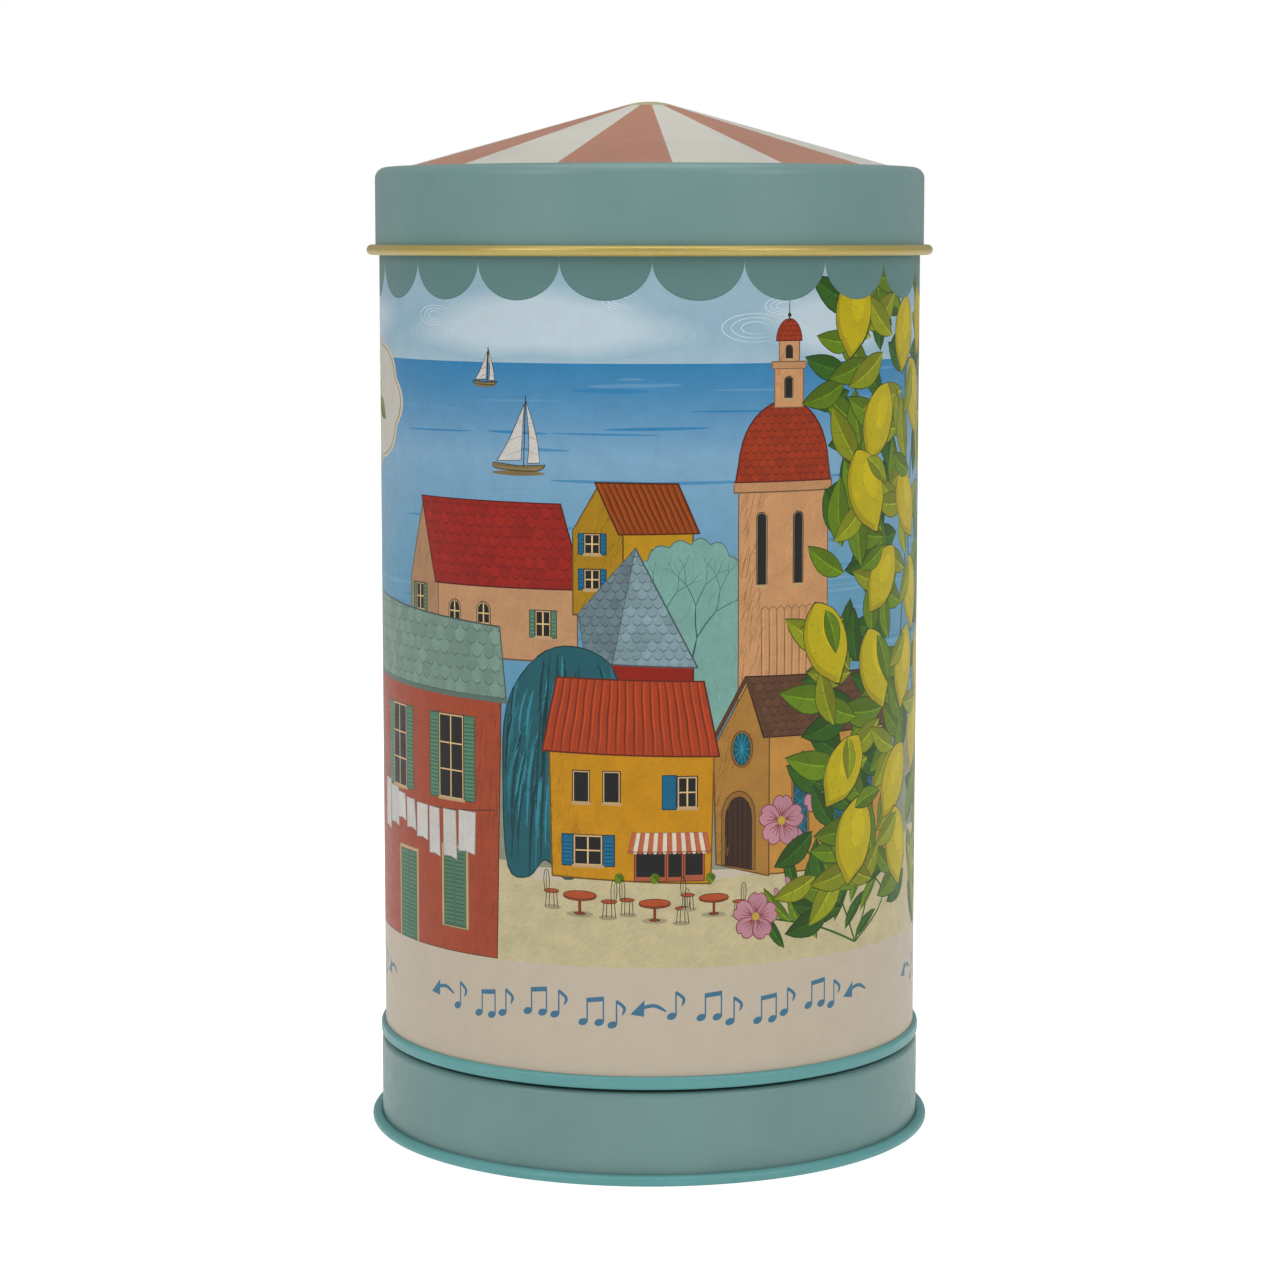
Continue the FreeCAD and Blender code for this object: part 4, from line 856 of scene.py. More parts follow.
def hatch(art, parent, area, ink, count, lean=70.0, length=3.0, width=0.22):
    """Loose pencil strokes over an area, kept inside their parent shape."""
    left, low, right, high = area
    for _ in range(int(count * PENCIL)):
        u, z = art.random.uniform(left, right), art.random.uniform(low, high)
        turn = math.radians(lean + art.random.uniform(-9, 9))
        run = length * art.random.uniform(0.4, 1.0)
        far = (u + run * math.cos(turn), z + run * math.sin(turn))
        shade = tint(ink, art.random.uniform(0.9, 1.1))
        stroke(art, [(u, z), far], width * art.random.uniform(0.6, 1.2), shade, (0.4, 0.4), parent, 0.8)


def tile_rows(art, parent, area, ink, wide=2.3, high=1.9, slant=0.0, spread=0.13):
    """Rows of round-ended tiles laid from the eaves up; slant moves each row sideways as a gable leans."""
    left, low, right, top = area
    for row in range(int((top - low) / high) + 1):
        z = low + row * high
        offset = (wide / 2 if row % 2 else 0.0) + slant * (z - low)
        for n in range(-1, int((right - left) / wide) + 2):
            u = left + n * wide + offset + art.random.uniform(-0.12, 0.12)
            shade = tint(ink, art.random.uniform(1 - spread, 1 + spread))
            bend = [(0.94, 0.55), (0.82, 0.2), (0.5, 0.0), (0.18, 0.2), (0.06, 0.55)]
            outline = [(u, z + high * 1.25)] + [(u + wide * (1 - x), z + high * y) for x, y in bend]
            outline.append((u + wide, z + high * 1.25))
            under = [(x, y - 0.24) for x, y in outline]
            art.fill(under, tint(ink, 0.5), 0.5, parent)
            art.fill(outline, shade, 1.0, parent)


def ribs(art, parent, low_left, low_right, top_left, top_right, ink, count):
    """A ribbed roof: dark furrows from the ridge to the eaves with a light line beside each."""
    for n in range(count + 1):
        share = n / count
        foot = (
            low_left[0] + (low_right[0] - low_left[0]) * share,
            low_left[1] + (low_right[1] - low_left[1]) * share
        )
        head = (
            top_left[0] + (top_right[0] - top_left[0]) * share,
            top_left[1] + (top_right[1] - top_left[1]) * share
        )
        run, rise = head[0] - foot[0], head[1] - foot[1]
        shares = (0, 0.25, 0.5, 0.75, 1)
        wave = [(foot[0] + run * t + 0.1 * math.sin(9 * t + n), foot[1] + rise * t) for t in shares]
        stroke(art, wave, 0.34, tint(ink, 0.5), (0.6, 0.6), parent)
        stroke(art, [(u + 0.45, z) for u, z in wave], 0.3, tint(ink, 1.45), (0.3, 0.6), parent)


def window(art, u, z, wide, high, inks, shutters=None, panes=(2, 3), arched=False):
    """A framed window with glazing bars, and slatted shutters where their ink is given."""
    frame_ink, glass = tuple(inks.trim), tuple(inks.glass)
    rim = min(0.45, wide * 0.14)

    def opening(grow):
        left, right, low, top = u - grow, u + wide + grow, z - grow, z + high + grow
        if not arched:
            return block(left, low, right, top)
        bend = wide / 2 + grow
        arch = [(u + wide / 2 + bend * math.cos(t), top - bend + bend * math.sin(t))
                for t in (math.pi * n / 8 for n in range(9))]
        return [(left, low), (right, low), *arch]

    if shutters:
        leaf = wide * 0.46
        for side in (u - rim - leaf, u + wide + rim):
            door = drawn(art, block(side, z - rim, side + leaf, z + high + rim), shutters, 0.6, 0.2)
            for n in range(int(high / 0.75)):
                low = z + 0.2 + n * 0.75
                stroke(
                    art, [(side + 0.25, low), (side + leaf - 0.25, low)], 0.2, tint(shutters, 0.55),
                    within=door
                )
                stroke(art, [(side + 0.25, low + 0.25), (side + leaf - 0.25, low + 0.25)], 0.18,
                       tint(shutters, 1.5), within=door)
    drawn(art, opening(rim), frame_ink, 0.6, 0.2, tuple(inks.line))
    pane = drawn(art, opening(0.0), glass, 0.3, 0.15, tuple(inks.line))
    for n in range(1, panes[0]):
        x = u + wide * n / panes[0]
        stroke(art, [(x, z), (x, z + high)], 0.3, tint(frame_ink, 1.25), within=pane)
    for n in range(1, panes[1]):
        y = z + high * n / panes[1]
        stroke(art, [(u, y), (u + wide, y)], 0.26, tint(frame_ink, 1.2), within=pane)
    stroke(
        art, [(u - 1.6 * rim, z - rim - 0.1), (u + wide + 1.6 * rim, z - rim - 0.1)], 0.5,
        tint(frame_ink, 0.8)
    )


def wall(art, points, ink, dark_side=None, count=110):
    """A painted wall with pencil shading in lighter and darker strokes."""
    number = drawn(art, points, ink, 1.0, 0.28, tint(ink, 0.3))
    left, right = min(u for u, _ in points), max(u for u, _ in points)
    low, high = min(z for _, z in points), max(z for _, z in points)
    size = max(0.3, (right - left) * (high - low) / 700)
    hatch(art, number, (left, low, right, high), tint(ink, 0.82), int(count * size), 82, 2.6)
    hatch(art, number, (left, low, right, high), tint(ink, 1.2), int(count * size), 78, 2.2)
    if dark_side:
        hatch(
            art, number, (left, low, left + dark_side, high), tint(ink, 0.6), int(count * 0.8), 68, 3.4,
            0.3
        )
    return number


def tiled_roof(art, points, ink, slant=0.0, wide=2.3, high=1.9):
    number = drawn(art, points, ink, 1.0, 0.3, tint(ink, 0.25))
    area = (
        min(u for u, _ in points), min(z for _, z in points), max(u for u, _ in points),
        max(z for _, z in points)
    )
    tile_rows(art, number, area, ink, wide, high, slant)
    edge(art, points, 0.28, tint(ink, 0.3))
    return number


def ribbed_roof(art, points, ink, count):
    """points run eaves left, eaves right, ridge right, ridge left."""
    number = drawn(art, points, ink, 1.0, 0.3, tint(ink, 0.3))
    ribs(art, number, points[0], points[1], points[3], points[2], ink, count)
    edge(art, points, 0.3, tint(ink, 0.3))
    return number


def lemon(art, u, z, size, turn, inks):
    """A lemon: two pointed ends, a shaded flank, pores and a soft light."""
    ring = []
    for n in range(26):
        t = 2 * math.pi * n / 26
        nose = 0.24 * math.exp(-((t - 2 * math.pi if t > math.pi else t) / 0.26) ** 2)
        stalk = 0.1 * math.exp(-((t - math.pi) / 0.24) ** 2)
        ring.append((math.cos(t) + nose - stalk, 0.7 * math.sin(t)))
    ink = tuple(inks.lemon)
    body = drawn(art, moved(ring, u, z, turn, size), ink, 0.8, 0.34, (0.035, 0.045, 0.004))
    dusk = [(x * 0.97 - 0.02, y * 0.97) for x, y in ring]
    shadow = tint(ink, 0.74)
    art.fill(moved(dusk, u - 0.16 * size, z - 0.13 * size, turn, size), shadow, 0.8, body)
    art.fill(
        moved([(0.93 * x, 0.93 * y) for x, y in ring], u + 0.06 * size, z + 0.08 * size, turn, size), ink,
        0.8, body
    )
    art.fill(
        oval(u + 0.16 * size, z + 0.24 * size, 0.5 * size, 0.27 * size, turn), tint(ink, 1.18), 0.7, body
    )
    for _ in range(int(5 + 7 * size / 5)):
        spot = moved([(art.random.uniform(-0.8, 0.8), art.random.uniform(-0.5, 0.5))], u, z, turn, size)[0]
        art.fill(oval(*spot, 0.17, 0.13, count=5), (0.22, 0.13, 0.004), 0.2, body)


def leaf(art, u, z, length, turn, ink, wide=0.42):
    """A pointed leaf from its stalk: one half lighter, with a midrib and fine veins."""
    steps = [n / 7 for n in range(8)]
    width = [wide / 2 * math.sin(math.pi * t) ** 0.9 * (1.15 - 0.3 * t) for t in steps]
    bow = [0.05 * math.sin(math.pi * t) for t in steps]
    upper = [(t, b + w) for t, w, b in zip(steps, width, bow)]
    lower = [(t, b - w) for t, w, b in zip(steps, width, bow)]
    above, below = (
        [(1.03 * t - 0.012, b + side * (w + 0.016)) for t, w, b in zip(steps, width, bow)] for side in (1, -1)
    )
    art.fill(moved(below + above[-2:0:-1], u, z, turn, length), tint(ink, 0.3), 0.4)
    body = art.fill(moved(lower + upper[-2:0:-1], u, z, turn, length), ink, 0.8)
    half = lower + list(zip(steps, bow))[-2:0:-1]
    art.fill(moved(half, u, z, turn, length), tint(ink, 0.7), 0.8, body)
    stroke(
        art, moved(list(zip(steps, bow))[:-1], u, z, turn, length), 0.26, tint(ink, 1.55), (1.0, 0.2),
        body
    )
    for n in (2, 4):
        for side in (1, -1):
            vein = [(steps[n], bow[n]), (steps[n] + 0.13, bow[n] + side * width[n] * 0.8)]
            stroke(art, moved(vein, u, z, turn, length), 0.13, tint(ink, 0.5), (1.0, 0.3), body)


def flower(art, u, z, size, turn, inks):
    """Five round petals with a notch, streaks from the heart and a small eye."""
    petal, heart = tuple(inks.petal), tuple(inks.petal_heart)
    shape = [(0.1, -0.1), (0.5, -0.42), (0.86, -0.36), (1.0, -0.1), (0.9, 0.02), (0.99, 0.16), (0.82, 0.4),
             (0.46, 0.4), (0.1, 0.1)]
    for n in range(5):
        way = turn + 72 * n
        pink = tint(petal, art.random.uniform(0.92, 1.1))
        one = drawn(art, moved(closed_curve(shape, 2), u, z, way, size), pink, 0.9, 0.2, tint(heart, 0.8))
        for spread in (-0.2, 0.0, 0.2):
            streak = moved([(0.15, 0.0), (0.62, spread)], u, z, way, size)
            stroke(art, streak, 0.16 * size / 2.6 + 0.06, heart, (1.0, 0.2), one)
    drawn(art, oval(u, z, 0.19 * size, 0.19 * size, count=8), (0.5, 0.33, 0.04), 0.5, 0.12, heart)


def boat(art, u, z, size, inks):
    """A sloop: two full sails, mast and a low hull with its reflection."""
    linen, hull = tuple(inks.linen), tuple(inks.hull)
    line = tuple(inks.line)
    art.fill(oval(u, z - 0.7 * size, 5.2 * size, 0.45 * size), tint(hull, 0.8), 1.2)
    keel = curve([(-4.9, 1.0), (-4.2, 0.0), (3.6, -0.3), (5.2, 0.8)], 3) + [(0.2, 0.55)]
    drawn(art, moved(keel, u, z, 0, size), hull, 1.0, 0.16, line)
    stroke(art, moved([(-4.6, 0.65), (0.2, 0.3), (4.9, 0.5)], u, z, 0, size), 0.16, tint(hull, 0.5))
    stroke(art, moved([(1.15, 0.4), (1.6, 12.4)], u, z, 0, size), 0.2, line)
    sails = []
    for luff, leech, ink in (
        ([(1.9, 1.0), (2.2, 5.0), (1.65, 11.6)], [(1.65, 11.6), (3.6, 5.6), (4.2, 1.1)], linen),
        ([(0.7, 1.5), (0.9, 5.0), (1.35, 11.0)], [(1.35, 11.0), (-1.6, 5.0), (-4.1, 1.3)], tint(linen, 0.96)),
    ):
        outline = moved(curve(luff, 3) + curve(leech, 3), u, z, 0, size)
        sails.append(drawn(art, outline, ink, 1.2, 0.14, line))
    for sail, side in zip(sails, (1, -1)):
        for n in (3.4, 5.8, 8.2):
            fold = moved([(1.3, n), (1.3 + side * 3.4, n - 1.2)], u, z, 0, size)
            stroke(art, fold, 0.12, tint(linen, 0.55), within=sail)


def chair(art, u, z, size, face, inks):
    """A wire chair, seen from the side; face is 1 where it looks right."""
    line = tuple(inks.line)
    art.fill(oval(u + 0.2 * face, z, 1.1 * size, 0.3 * size), tint(tuple(inks.ground), 0.62))
    drawn(
        art, oval(u, z + 1.9 * size, 0.95 * size, 0.26 * size, count=10), tuple(inks.table), 0.6, 0.12,
        line
    )
    for x in (-0.75, -0.3, 0.35, 0.8):
        stroke(art, [(u + x * size * 0.8, z + 1.85 * size), (u + x * size, z)], 0.15, line)
    back = [(-0.8, 1.9), (-0.95, 3.2), (-0.8, 4.2), (-0.45, 4.3), (-0.25, 3.3), (-0.3, 1.9)]
    stroke(art, [(u + face * x * size, z + y * size) for x, y in curve(back, 3)], 0.15, line)
    stroke(
        art, [(u - face * 0.62 * size, z + 2.0 * size), (u - face * 0.62 * size, z + 4.0 * size)], 0.12,
        line
    )


def table(art, u, z, size, inks):
    """A round cafe table on a turned foot."""
    line = tuple(inks.line)
    art.fill(oval(u, z - 0.1, 1.9 * size, 0.45 * size), tint(tuple(inks.ground), 0.66))
    stroke(art, [(u, z), (u, z + 2.3 * size)], 0.42 * size, tint(tuple(inks.table), 0.5))
    drawn(
        art, oval(u, z + 0.05, 0.8 * size, 0.2 * size, count=8), tint(tuple(inks.table), 0.6), 0.5, 0.12,
        line
    )
    drawn(
        art, oval(u, z + 2.35 * size, 2.3 * size, 0.62 * size), tint(tuple(inks.table), 0.7), 0.6, 0.12,
        line
    )
    drawn(art, oval(u, z + 2.55 * size, 2.3 * size, 0.58 * size), tuple(inks.table), 0.8, 0.12, line)


def striped_awning(art, u, z, wide, high, inks):
    """A scalloped awning of alternating stripes."""
    stripes = int(wide / 0.9)
    for n in range(stripes):
        ink = tuple(inks.awning_red) if n % 2 == 0 else tuple(inks.awning_cream)
        left, right = u + wide * n / stripes, u + wide * (n + 1) / stripes
        top_left, top_right = (u + wide / 2 + (x - u - wide / 2) * 0.9 for x in (left, right))
        foot = [(left, z), ((3 * left + right) / 4, z - 0.42), ((left + 3 * right) / 4, z - 0.42), (right, z)]
        drawn(art, [*foot, (top_right, z + high), (top_left, z + high)], ink, 0.9, 0.1, tint(ink, 0.4))
    stroke(art, [(u, z), (u + wide, z)], 0.16, tint(tuple(inks.awning_red), 0.4))


def washing(art, start, end, inks, pieces):
    """A slack line between two points with cloths pegged along it."""
    (u0, z0), (u1, z1) = start, end
    spots = [
        (u0 + (u1 - u0) * t, z0 + (z1 - z0) * t - 2.2 * math.sin(math.pi * t))
        for t in (n / 10 for n in range(11))
    ]
    stroke(art, spots, 0.16, tuple(inks.line))
    linen = tuple(inks.linen)
    for n in range(pieces):
        u, z = spots[min(9, 1 + int(9 * n / pieces))]
        wide, drop = art.random.uniform(3.0, 4.8), art.random.uniform(5.4, 10.5)
        foot = art.random.uniform(-0.5, 0.7)
        cloth = [
            (u, z), (u + wide, z - 0.1), (u + wide + foot, z - drop),
            (u + wide * 0.5 + foot, z - drop + 0.5), (u + foot * 0.4, z - drop * 0.96),
        ]
        one = drawn(art, cloth, tint(linen, art.random.uniform(0.9, 1.02)), 0.8, 0.14, tint(linen, 0.4))
        for x in (0.3, 0.62):
            crease = [(u + wide * x, z - 0.4), (u + wide * x + foot * 0.6, z - drop * 0.8)]
            stroke(art, crease, 0.16, tint(linen, 0.7), (0.3, 0.3), one)


# ---------------------------------------------------------------- the wrap: a village by the sea


SCALLOPS = 19
SCALLOP = math.radians(18.57)
FIRST_CUSP = math.radians(0.5)
HORIZON = 154.5
SHORE = 41.5  # top of the plain band


def sky_and_sea(art, inks):
    """Washes from the mouth of the tin down to the shore, with soft clouds, swirls and streaks of light."""
    half = art.around / 2
    sky, cloud = tuple(inks.sky), tuple(inks.cloud)
    art.fill(block(-half, 160, half, art.high), sky, 0.5, above=blend_inks(sky, cloud, 0.5))
    art.fill(block(-half, HORIZON, half, 160), blend_inks(sky, cloud, 0.35), 0.5, above=sky)
    for middle, wide in ((-22, 30), (38, 17), (92, 28), (150, 24), (-88, 26), (-140, 22)):
        for step in range(7):
            share = (step + 1) / 7
            puffs = []
            for n in range(16):
                t = 2 * math.pi * n / 16
                swell = (1.12 - 0.5 * share) * (
                    1 + 0.1 * math.sin(3 * t + middle) + 0.06
                    * math.sin(7 * t + middle)
                )
                puffs.append((middle + wide * swell * math.cos(t), 161.5 + 6.8 * swell * math.sin(t)))
            above_sea = [(u, max(z, HORIZON)) for u, z in closed_curve(puffs, 3)]
            art.fill(above_sea, blend_inks(sky, tint(cloud, 1.12), share * 0.9), 0.35)
    for u, z, size in (
        (-46, 163, 3.0), (20, 161, 4.2), (26, 165, 2.6), (-5, 166, 2.4), (70, 162, 3.6), (-100, 163, 3.4),
        (128, 163, 3.8), (-150, 162, 3.0),
    ):
        for ring in range(3):
            r = size * (0.45 + 0.3 * ring)
            arc = [
                (u + r * 1.5 * math.cos(t), z + r * 0.6 * math.sin(t))
                for t in (0.4 + 5.0 * n / 14 for n in range(15))
            ]
            stroke(art, arc, 0.14, tint(cloud, 1.3), (0.2, 0.2), tooth=0.2)
    far, light, near = tuple(inks.sea_far), tuple(inks.sea_light), tuple(inks.sea_near)
    levels = [
        (84, near), (112, near), (124, blend_inks(near, light, 0.5)), (137, light),
        (143, blend_inks(far, light, 0.55)), (149, blend_inks(far, light, 0.2)), (HORIZON, far),
    ]
    for (low, ink), (high, above) in zip(levels, levels[1:]):
        art.fill(block(-half, low, half, high), ink, 0.6, above=above)
    for _ in range(230):
        u, z = art.random.uniform(-half, half), art.random.uniform(88, HORIZON - 1.2)
        long = art.random.uniform(4, 17) * (0.5 + (HORIZON - z) / 60)
        ink = light if art.random.random() < 0.6 else tint(far, 1.05)
        level = blend_inks(near, ink, 0.55) if z < 140 else blend_inks(far, ink, 0.5)
        art.fill(
            oval(u, z, long, art.random.uniform(0.15, 0.42), art.random.uniform(-1.2, 1.2), 12), level,
            0.5
        )


def cartouche(art, u, z, inks):
    """A plain label with a lobed edge and a lemon sprig where a name would stand."""
    cream, olive = linear("c4beb2"), linear("8a7f45")
    for grow, ink in ((1.0, cream), (0.955, olive), (0.935, cream)):
        ring = []
        for n in range(72):
            t = 2 * math.pi * n / 72
            lobe = 1 + 0.09 * abs(math.cos(4 * t))
            ring.append((u + 20 * grow * lobe * math.cos(t), z + 12.2 * grow * lobe * math.sin(t)))
        art.fill(ring, ink, 0.5)
    for turn, side in ((200, -1), (-20, 1)):
        leaf(art, u + side * 2.5, z - 0.5, 8.5, turn, tuple(inks.leaf))
    lemon(art, u, z, 4.6, 35, inks)


def gabled(art, u, z, wide, high, side, roof_high, wall_ink, roof_ink, tiled=True, lean=4.0):
    """A house with its gable end at the left and its roof behind the front wall, whose number it gives."""
    eaves, ridge = z + high, z + high + roof_high
    gable = [(u, z), (u + side, z), (u + side, eaves), (u + side * 0.5, ridge - 0.6), (u, eaves)]
    wall(art, gable, tint(wall_ink, 0.8), side)
    front = wall(art, block(u + side, z, u + wide, eaves + 0.6), wall_ink)
    points = [
        (u + side - 0.8, eaves - 0.6), (u + wide + 1.2, eaves - 0.4), (u + wide + 1.2 - lean, ridge),
        (u + side * 0.5 - 0.5, ridge + 0.2)
    ]
    if tiled:
        tiled_roof(art, points, roof_ink, slant=-0.25)
    else:
        ribbed_roof(art, points, roof_ink, int(wide / 1.7))
    return front


def peach_house(art, inks):
    gabled(art, -55, 99, 41.5, 14.0, 9.5, 15.5, tuple(inks.peach), tuple(inks.red_tile), lean=4.5)
    window(art, -52.6, 107, 2.2, 4.6, inks, tuple(inks.green_shutter), (2, 2))
    stroke(art, [(-54.4, 106.6), (-47.9, 106.2)], 0.5, tuple(inks.line))
    for n in range(7):
        stroke(art, [(-54.2 + n, 106.5), (-54.2 + n, 103.6)], 0.16, tuple(inks.line))
    stroke(art, [(-54.4, 103.6), (-47.9, 103.3)], 0.3, tuple(inks.line))
    for u in (-42.0, -34.6):
        window(art, u, 103.6, 2.5, 5.6, inks, None, (2, 3), True)
    window(art, -21.6, 103.8, 2.5, 4.4, inks, tuple(inks.green_shutter), (2, 2))


def yellow_house(art, inks):
    gabled(art, -14.4, 108, 22.5, 15.6, 9.5, 8.8, tuple(inks.yellow), tuple(inks.brown_tile), False, 4.0)
    for z in (113.0, 119.6):
        window(art, -11.9, z, 2.4, 3.2, inks, tuple(inks.blue_shutter), (2, 2))
    window(art, 0.8, 115.0, 2.8, 4.8, inks, None, (2, 3))


def pyramid_house(art, inks):
    """A low red house under a steep slated pyramid."""
    wall(art, block(-11.5, 86, 8.2, 99.5), tuple(inks.red_wall))
    slate = tuple(inks.slate_tile)
    tiled_roof(art, [(-12.4, 99.0), (9.0, 98.2), (-2.6, 120.5)], slate, wide=2.0, high=1.6)
    shade = drawn(
        art, [(-13.4, 108.2), (-11.8, 98.8), (-6.9, 99.0), (-2.6, 120.5)], tint(slate, 0.62), 1.0, 0.25
    )
    tile_rows(art, shade, (-14, 98, -2, 120), tint(slate, 0.62), 1.9, 1.6)


def crown_of(art, u, z, wide, high, ink, lobes=17, seed=0.0):
    """A tree's crown with a soft lobed edge."""
    ring = []
    for n in range(lobes * 4):
        t = 2 * math.pi * n / (lobes * 4)
        swell = 1 + 0.06 * abs(math.sin(lobes * t / 2))
        swell += 0.05 * math.sin(3 * t + seed) + 0.04 * math.sin(5 * t + 2 * seed)
        ring.append((u + wide / 2 * swell * math.cos(t), z + high / 2 * swell * math.sin(t)))
    return drawn(art, ring, ink, 0.9, 0.24, tint(ink, 0.45))


def pale_tree(art, u, z, wide, high, inks, seed=1.0):
    """A round pale tree with forking branches drawn through its crown."""
    ink = tuple(inks.pale_tree)
    crown = crown_of(art, u, z, wide, high, ink, 19, seed)
    hatch(
        art, crown, (u - wide / 2, z - high / 2, u + wide / 2, z + high / 2), tint(ink, 1.22), 240, 95,
        3.6, 0.24
    )
    hatch(
        art, crown, (u - wide / 2, z - high / 2, u + wide / 2, z + high / 2), tint(ink, 0.72), 150, 85,
        3.0, 0.2
    )

    def branch(x, y, way, length, width):
        if length < high * 0.055:
            return
        bend = way + art.random.uniform(-8, 8)
        middle = (
            x + length * 0.5 * math.cos(math.radians(way)), y + length * 0.5 * math.sin(math.radians(way))
        )
        end = (
            middle[0] + length * 0.5 * math.cos(math.radians(bend)),
            middle[1] + length * 0.5 * math.sin(math.radians(bend))
        )
        stroke(
            art, curve([(x, y), middle, end], 3), width, tint(tuple(inks.dark_tree), 0.8), (1.0, 0.5),
            crown
        )
        for side in (-1, 1):
            branch(*end, bend + side * art.random.uniform(16, 30), length * 0.74, width * 0.66)

    branch(u, z - high * 0.52, 92, high * 0.3, 0.5)


def weeping_tree(art, u, z, wide, high, inks, seed=0.4):
    """A dark drooping tree: long strands hanging from a domed crown."""
    ink = tuple(inks.dark_tree)
    ring = [(-0.46, -0.46), (-0.5, -0.1), (-0.46, 0.24), (-0.2, 0.45), (0.08, 0.5), (0.36, 0.43), (0.5, 0.22),
            (0.52, 0.06), (0.36, 0.1), (0.2, 0.04), (0.12, -0.2), (0.16, -0.44), (0.02, -0.5), (-0.14, -0.42),
            (-0.28, -0.5)]
    crown = drawn(
        art, closed_curve([(u + wide * x, z + high * y) for x, y in ring], 4), ink, 0.9, 0.28,
        tint(ink, 0.4)
    )
    for n in range(110):
        top = u + wide * art.random.uniform(-0.46, 0.46)
        start = z + high * art.random.uniform(-0.1, 0.48)
        drop = high * art.random.uniform(0.16, 0.42)
        drift = (top - u) * 0.16
        ink_here = tint(ink, art.random.choice((0.35, 0.5, 1.6, 2.3)))
        points = curve(
            [(top - drift, start), (top, start - drop * 0.45), (top + drift * 0.4, start - drop)], 4
        )
        stroke(art, points, art.random.uniform(0.3, 0.62), ink_here, (0.2, 0.2), crown, 0.8)
        for k in range(1, len(points) - 1, 2):
            x, y = points[k]
            side = art.random.choice((-1, 1))
            stroke(art, [(x, y), (x + side * 0.9, y - 1.1)], 0.17, ink_here, (1.0, 0.3), crown)


def bell_tower(art, inks):
    """Square tower with a tiled dome, a lantern and its own small dome and spike."""
    ink, dome = tuple(inks.tower), tuple(inks.dome_tile)
    left, right, low, top = 16.8, 36.2, 78.0, 131.0
    body = wall(art, block(left, low, right, top), ink)
    hatch(art, body, (left, low, left + 4.6, top), tint(ink, 0.55), 340, 74, 3.6, 0.3)
    hatch(art, body, (left + 3, low, right, top), tint(ink, 1.22), 200, 84, 3.2, 0.24)
    for n in range(9):
        x = left + 4.6 + n * 1.62
        stroke(art, [(x, 92), (x + 0.1, 100), (x, 108.6)], 0.24, tint(ink, 0.42), (0.6, 0.6), body)
        stroke(art, [(x + 0.5, 92.4), (x + 0.5, 108)], 0.22, tint(ink, 1.4), (0.4, 0.4), body)
        stroke(art, [(x, 108.6), (x + 0.8, 109.3), (x + 1.62, 108.6)], 0.2, tint(ink, 0.42), within=body)
    for x in (20.6, 28.4):
        window(art, x, 113.4, 1.7, 13.2, inks, None, (1, 1), True)
    cornice = drawn(art, block(left - 0.9, top - 0.4, right + 0.9, top + 1.6), tint(ink, 0.9), 1.0, 0.24)
    hatch(art, cornice, (left, top, right, top + 1.4), tint(ink, 0.6), 24, 84, 1.2)
    ring = [(left - 0.6, top + 1.5)]
    ring += [
        (26.5 - 9.9 * math.cos(t), top + 1.5 + 15.0 * math.sin(t) ** 0.85)
        for t in (math.pi * n / 22 for n in range(1, 22))
    ]
    ring.append((right + 0.6, top + 1.5))
    big = drawn(art, ring[::-1], dome, 1.0, 0.3, tint(dome, 0.3))
    tile_rows(art, big, (left - 1, top + 1.5, right + 1, top + 18), dome, 1.7, 1.35)
    edge(art, ring[::-1], 0.28, tint(dome, 0.3))
    neck, head = top + 16.0, top + 23.0
    lantern = drawn(art, block(24.0, neck - 0.8, 30.2, head), tint(ink, 1.04), 1.0, 0.24)
    hatch(art, lantern, (24, neck, 25.6, head), tint(ink, 0.55), 36, 82, 1.6)
    drawn(art, block(23.4, head - 0.6, 30.8, head + 0.7), tint(ink, 0.9), 0.8, 0.2)
    window(art, 26.3, neck + 1.0, 1.4, 3.8, inks, None, (1, 1), True)
    upper = drawn(art, block(24.9, head + 0.7, 29.3, head + 4.6), ink, 1.0, 0.22)
    hatch(art, upper, (24.9, head, 26, head + 4.6), tint(ink, 0.55), 22, 82, 1.4)
    window(art, 26.5, head + 1.3, 1.1, 2.3, inks, None, (1, 1), True)
    cap = [
        (27.1 + 2.75 * math.cos(t), head + 4.6 + 4.0 * math.sin(t))
        for t in (math.pi * n / 12 for n in range(13))
    ]
    small = drawn(art, cap, dome, 1.0, 0.24, tint(dome, 0.3))
    tile_rows(art, small, (24, head + 4.6, 30, head + 9), dome, 1.1, 0.9)
    stroke(art, [(27.1, head + 8.2), (27.1, head + 12.4)], 0.3, tuple(inks.line), (1.0, 0.3))
    drawn(art, oval(27.1, head + 9.3, 0.42, 0.42, count=8), tuple(inks.line), 0.2, 0.0)


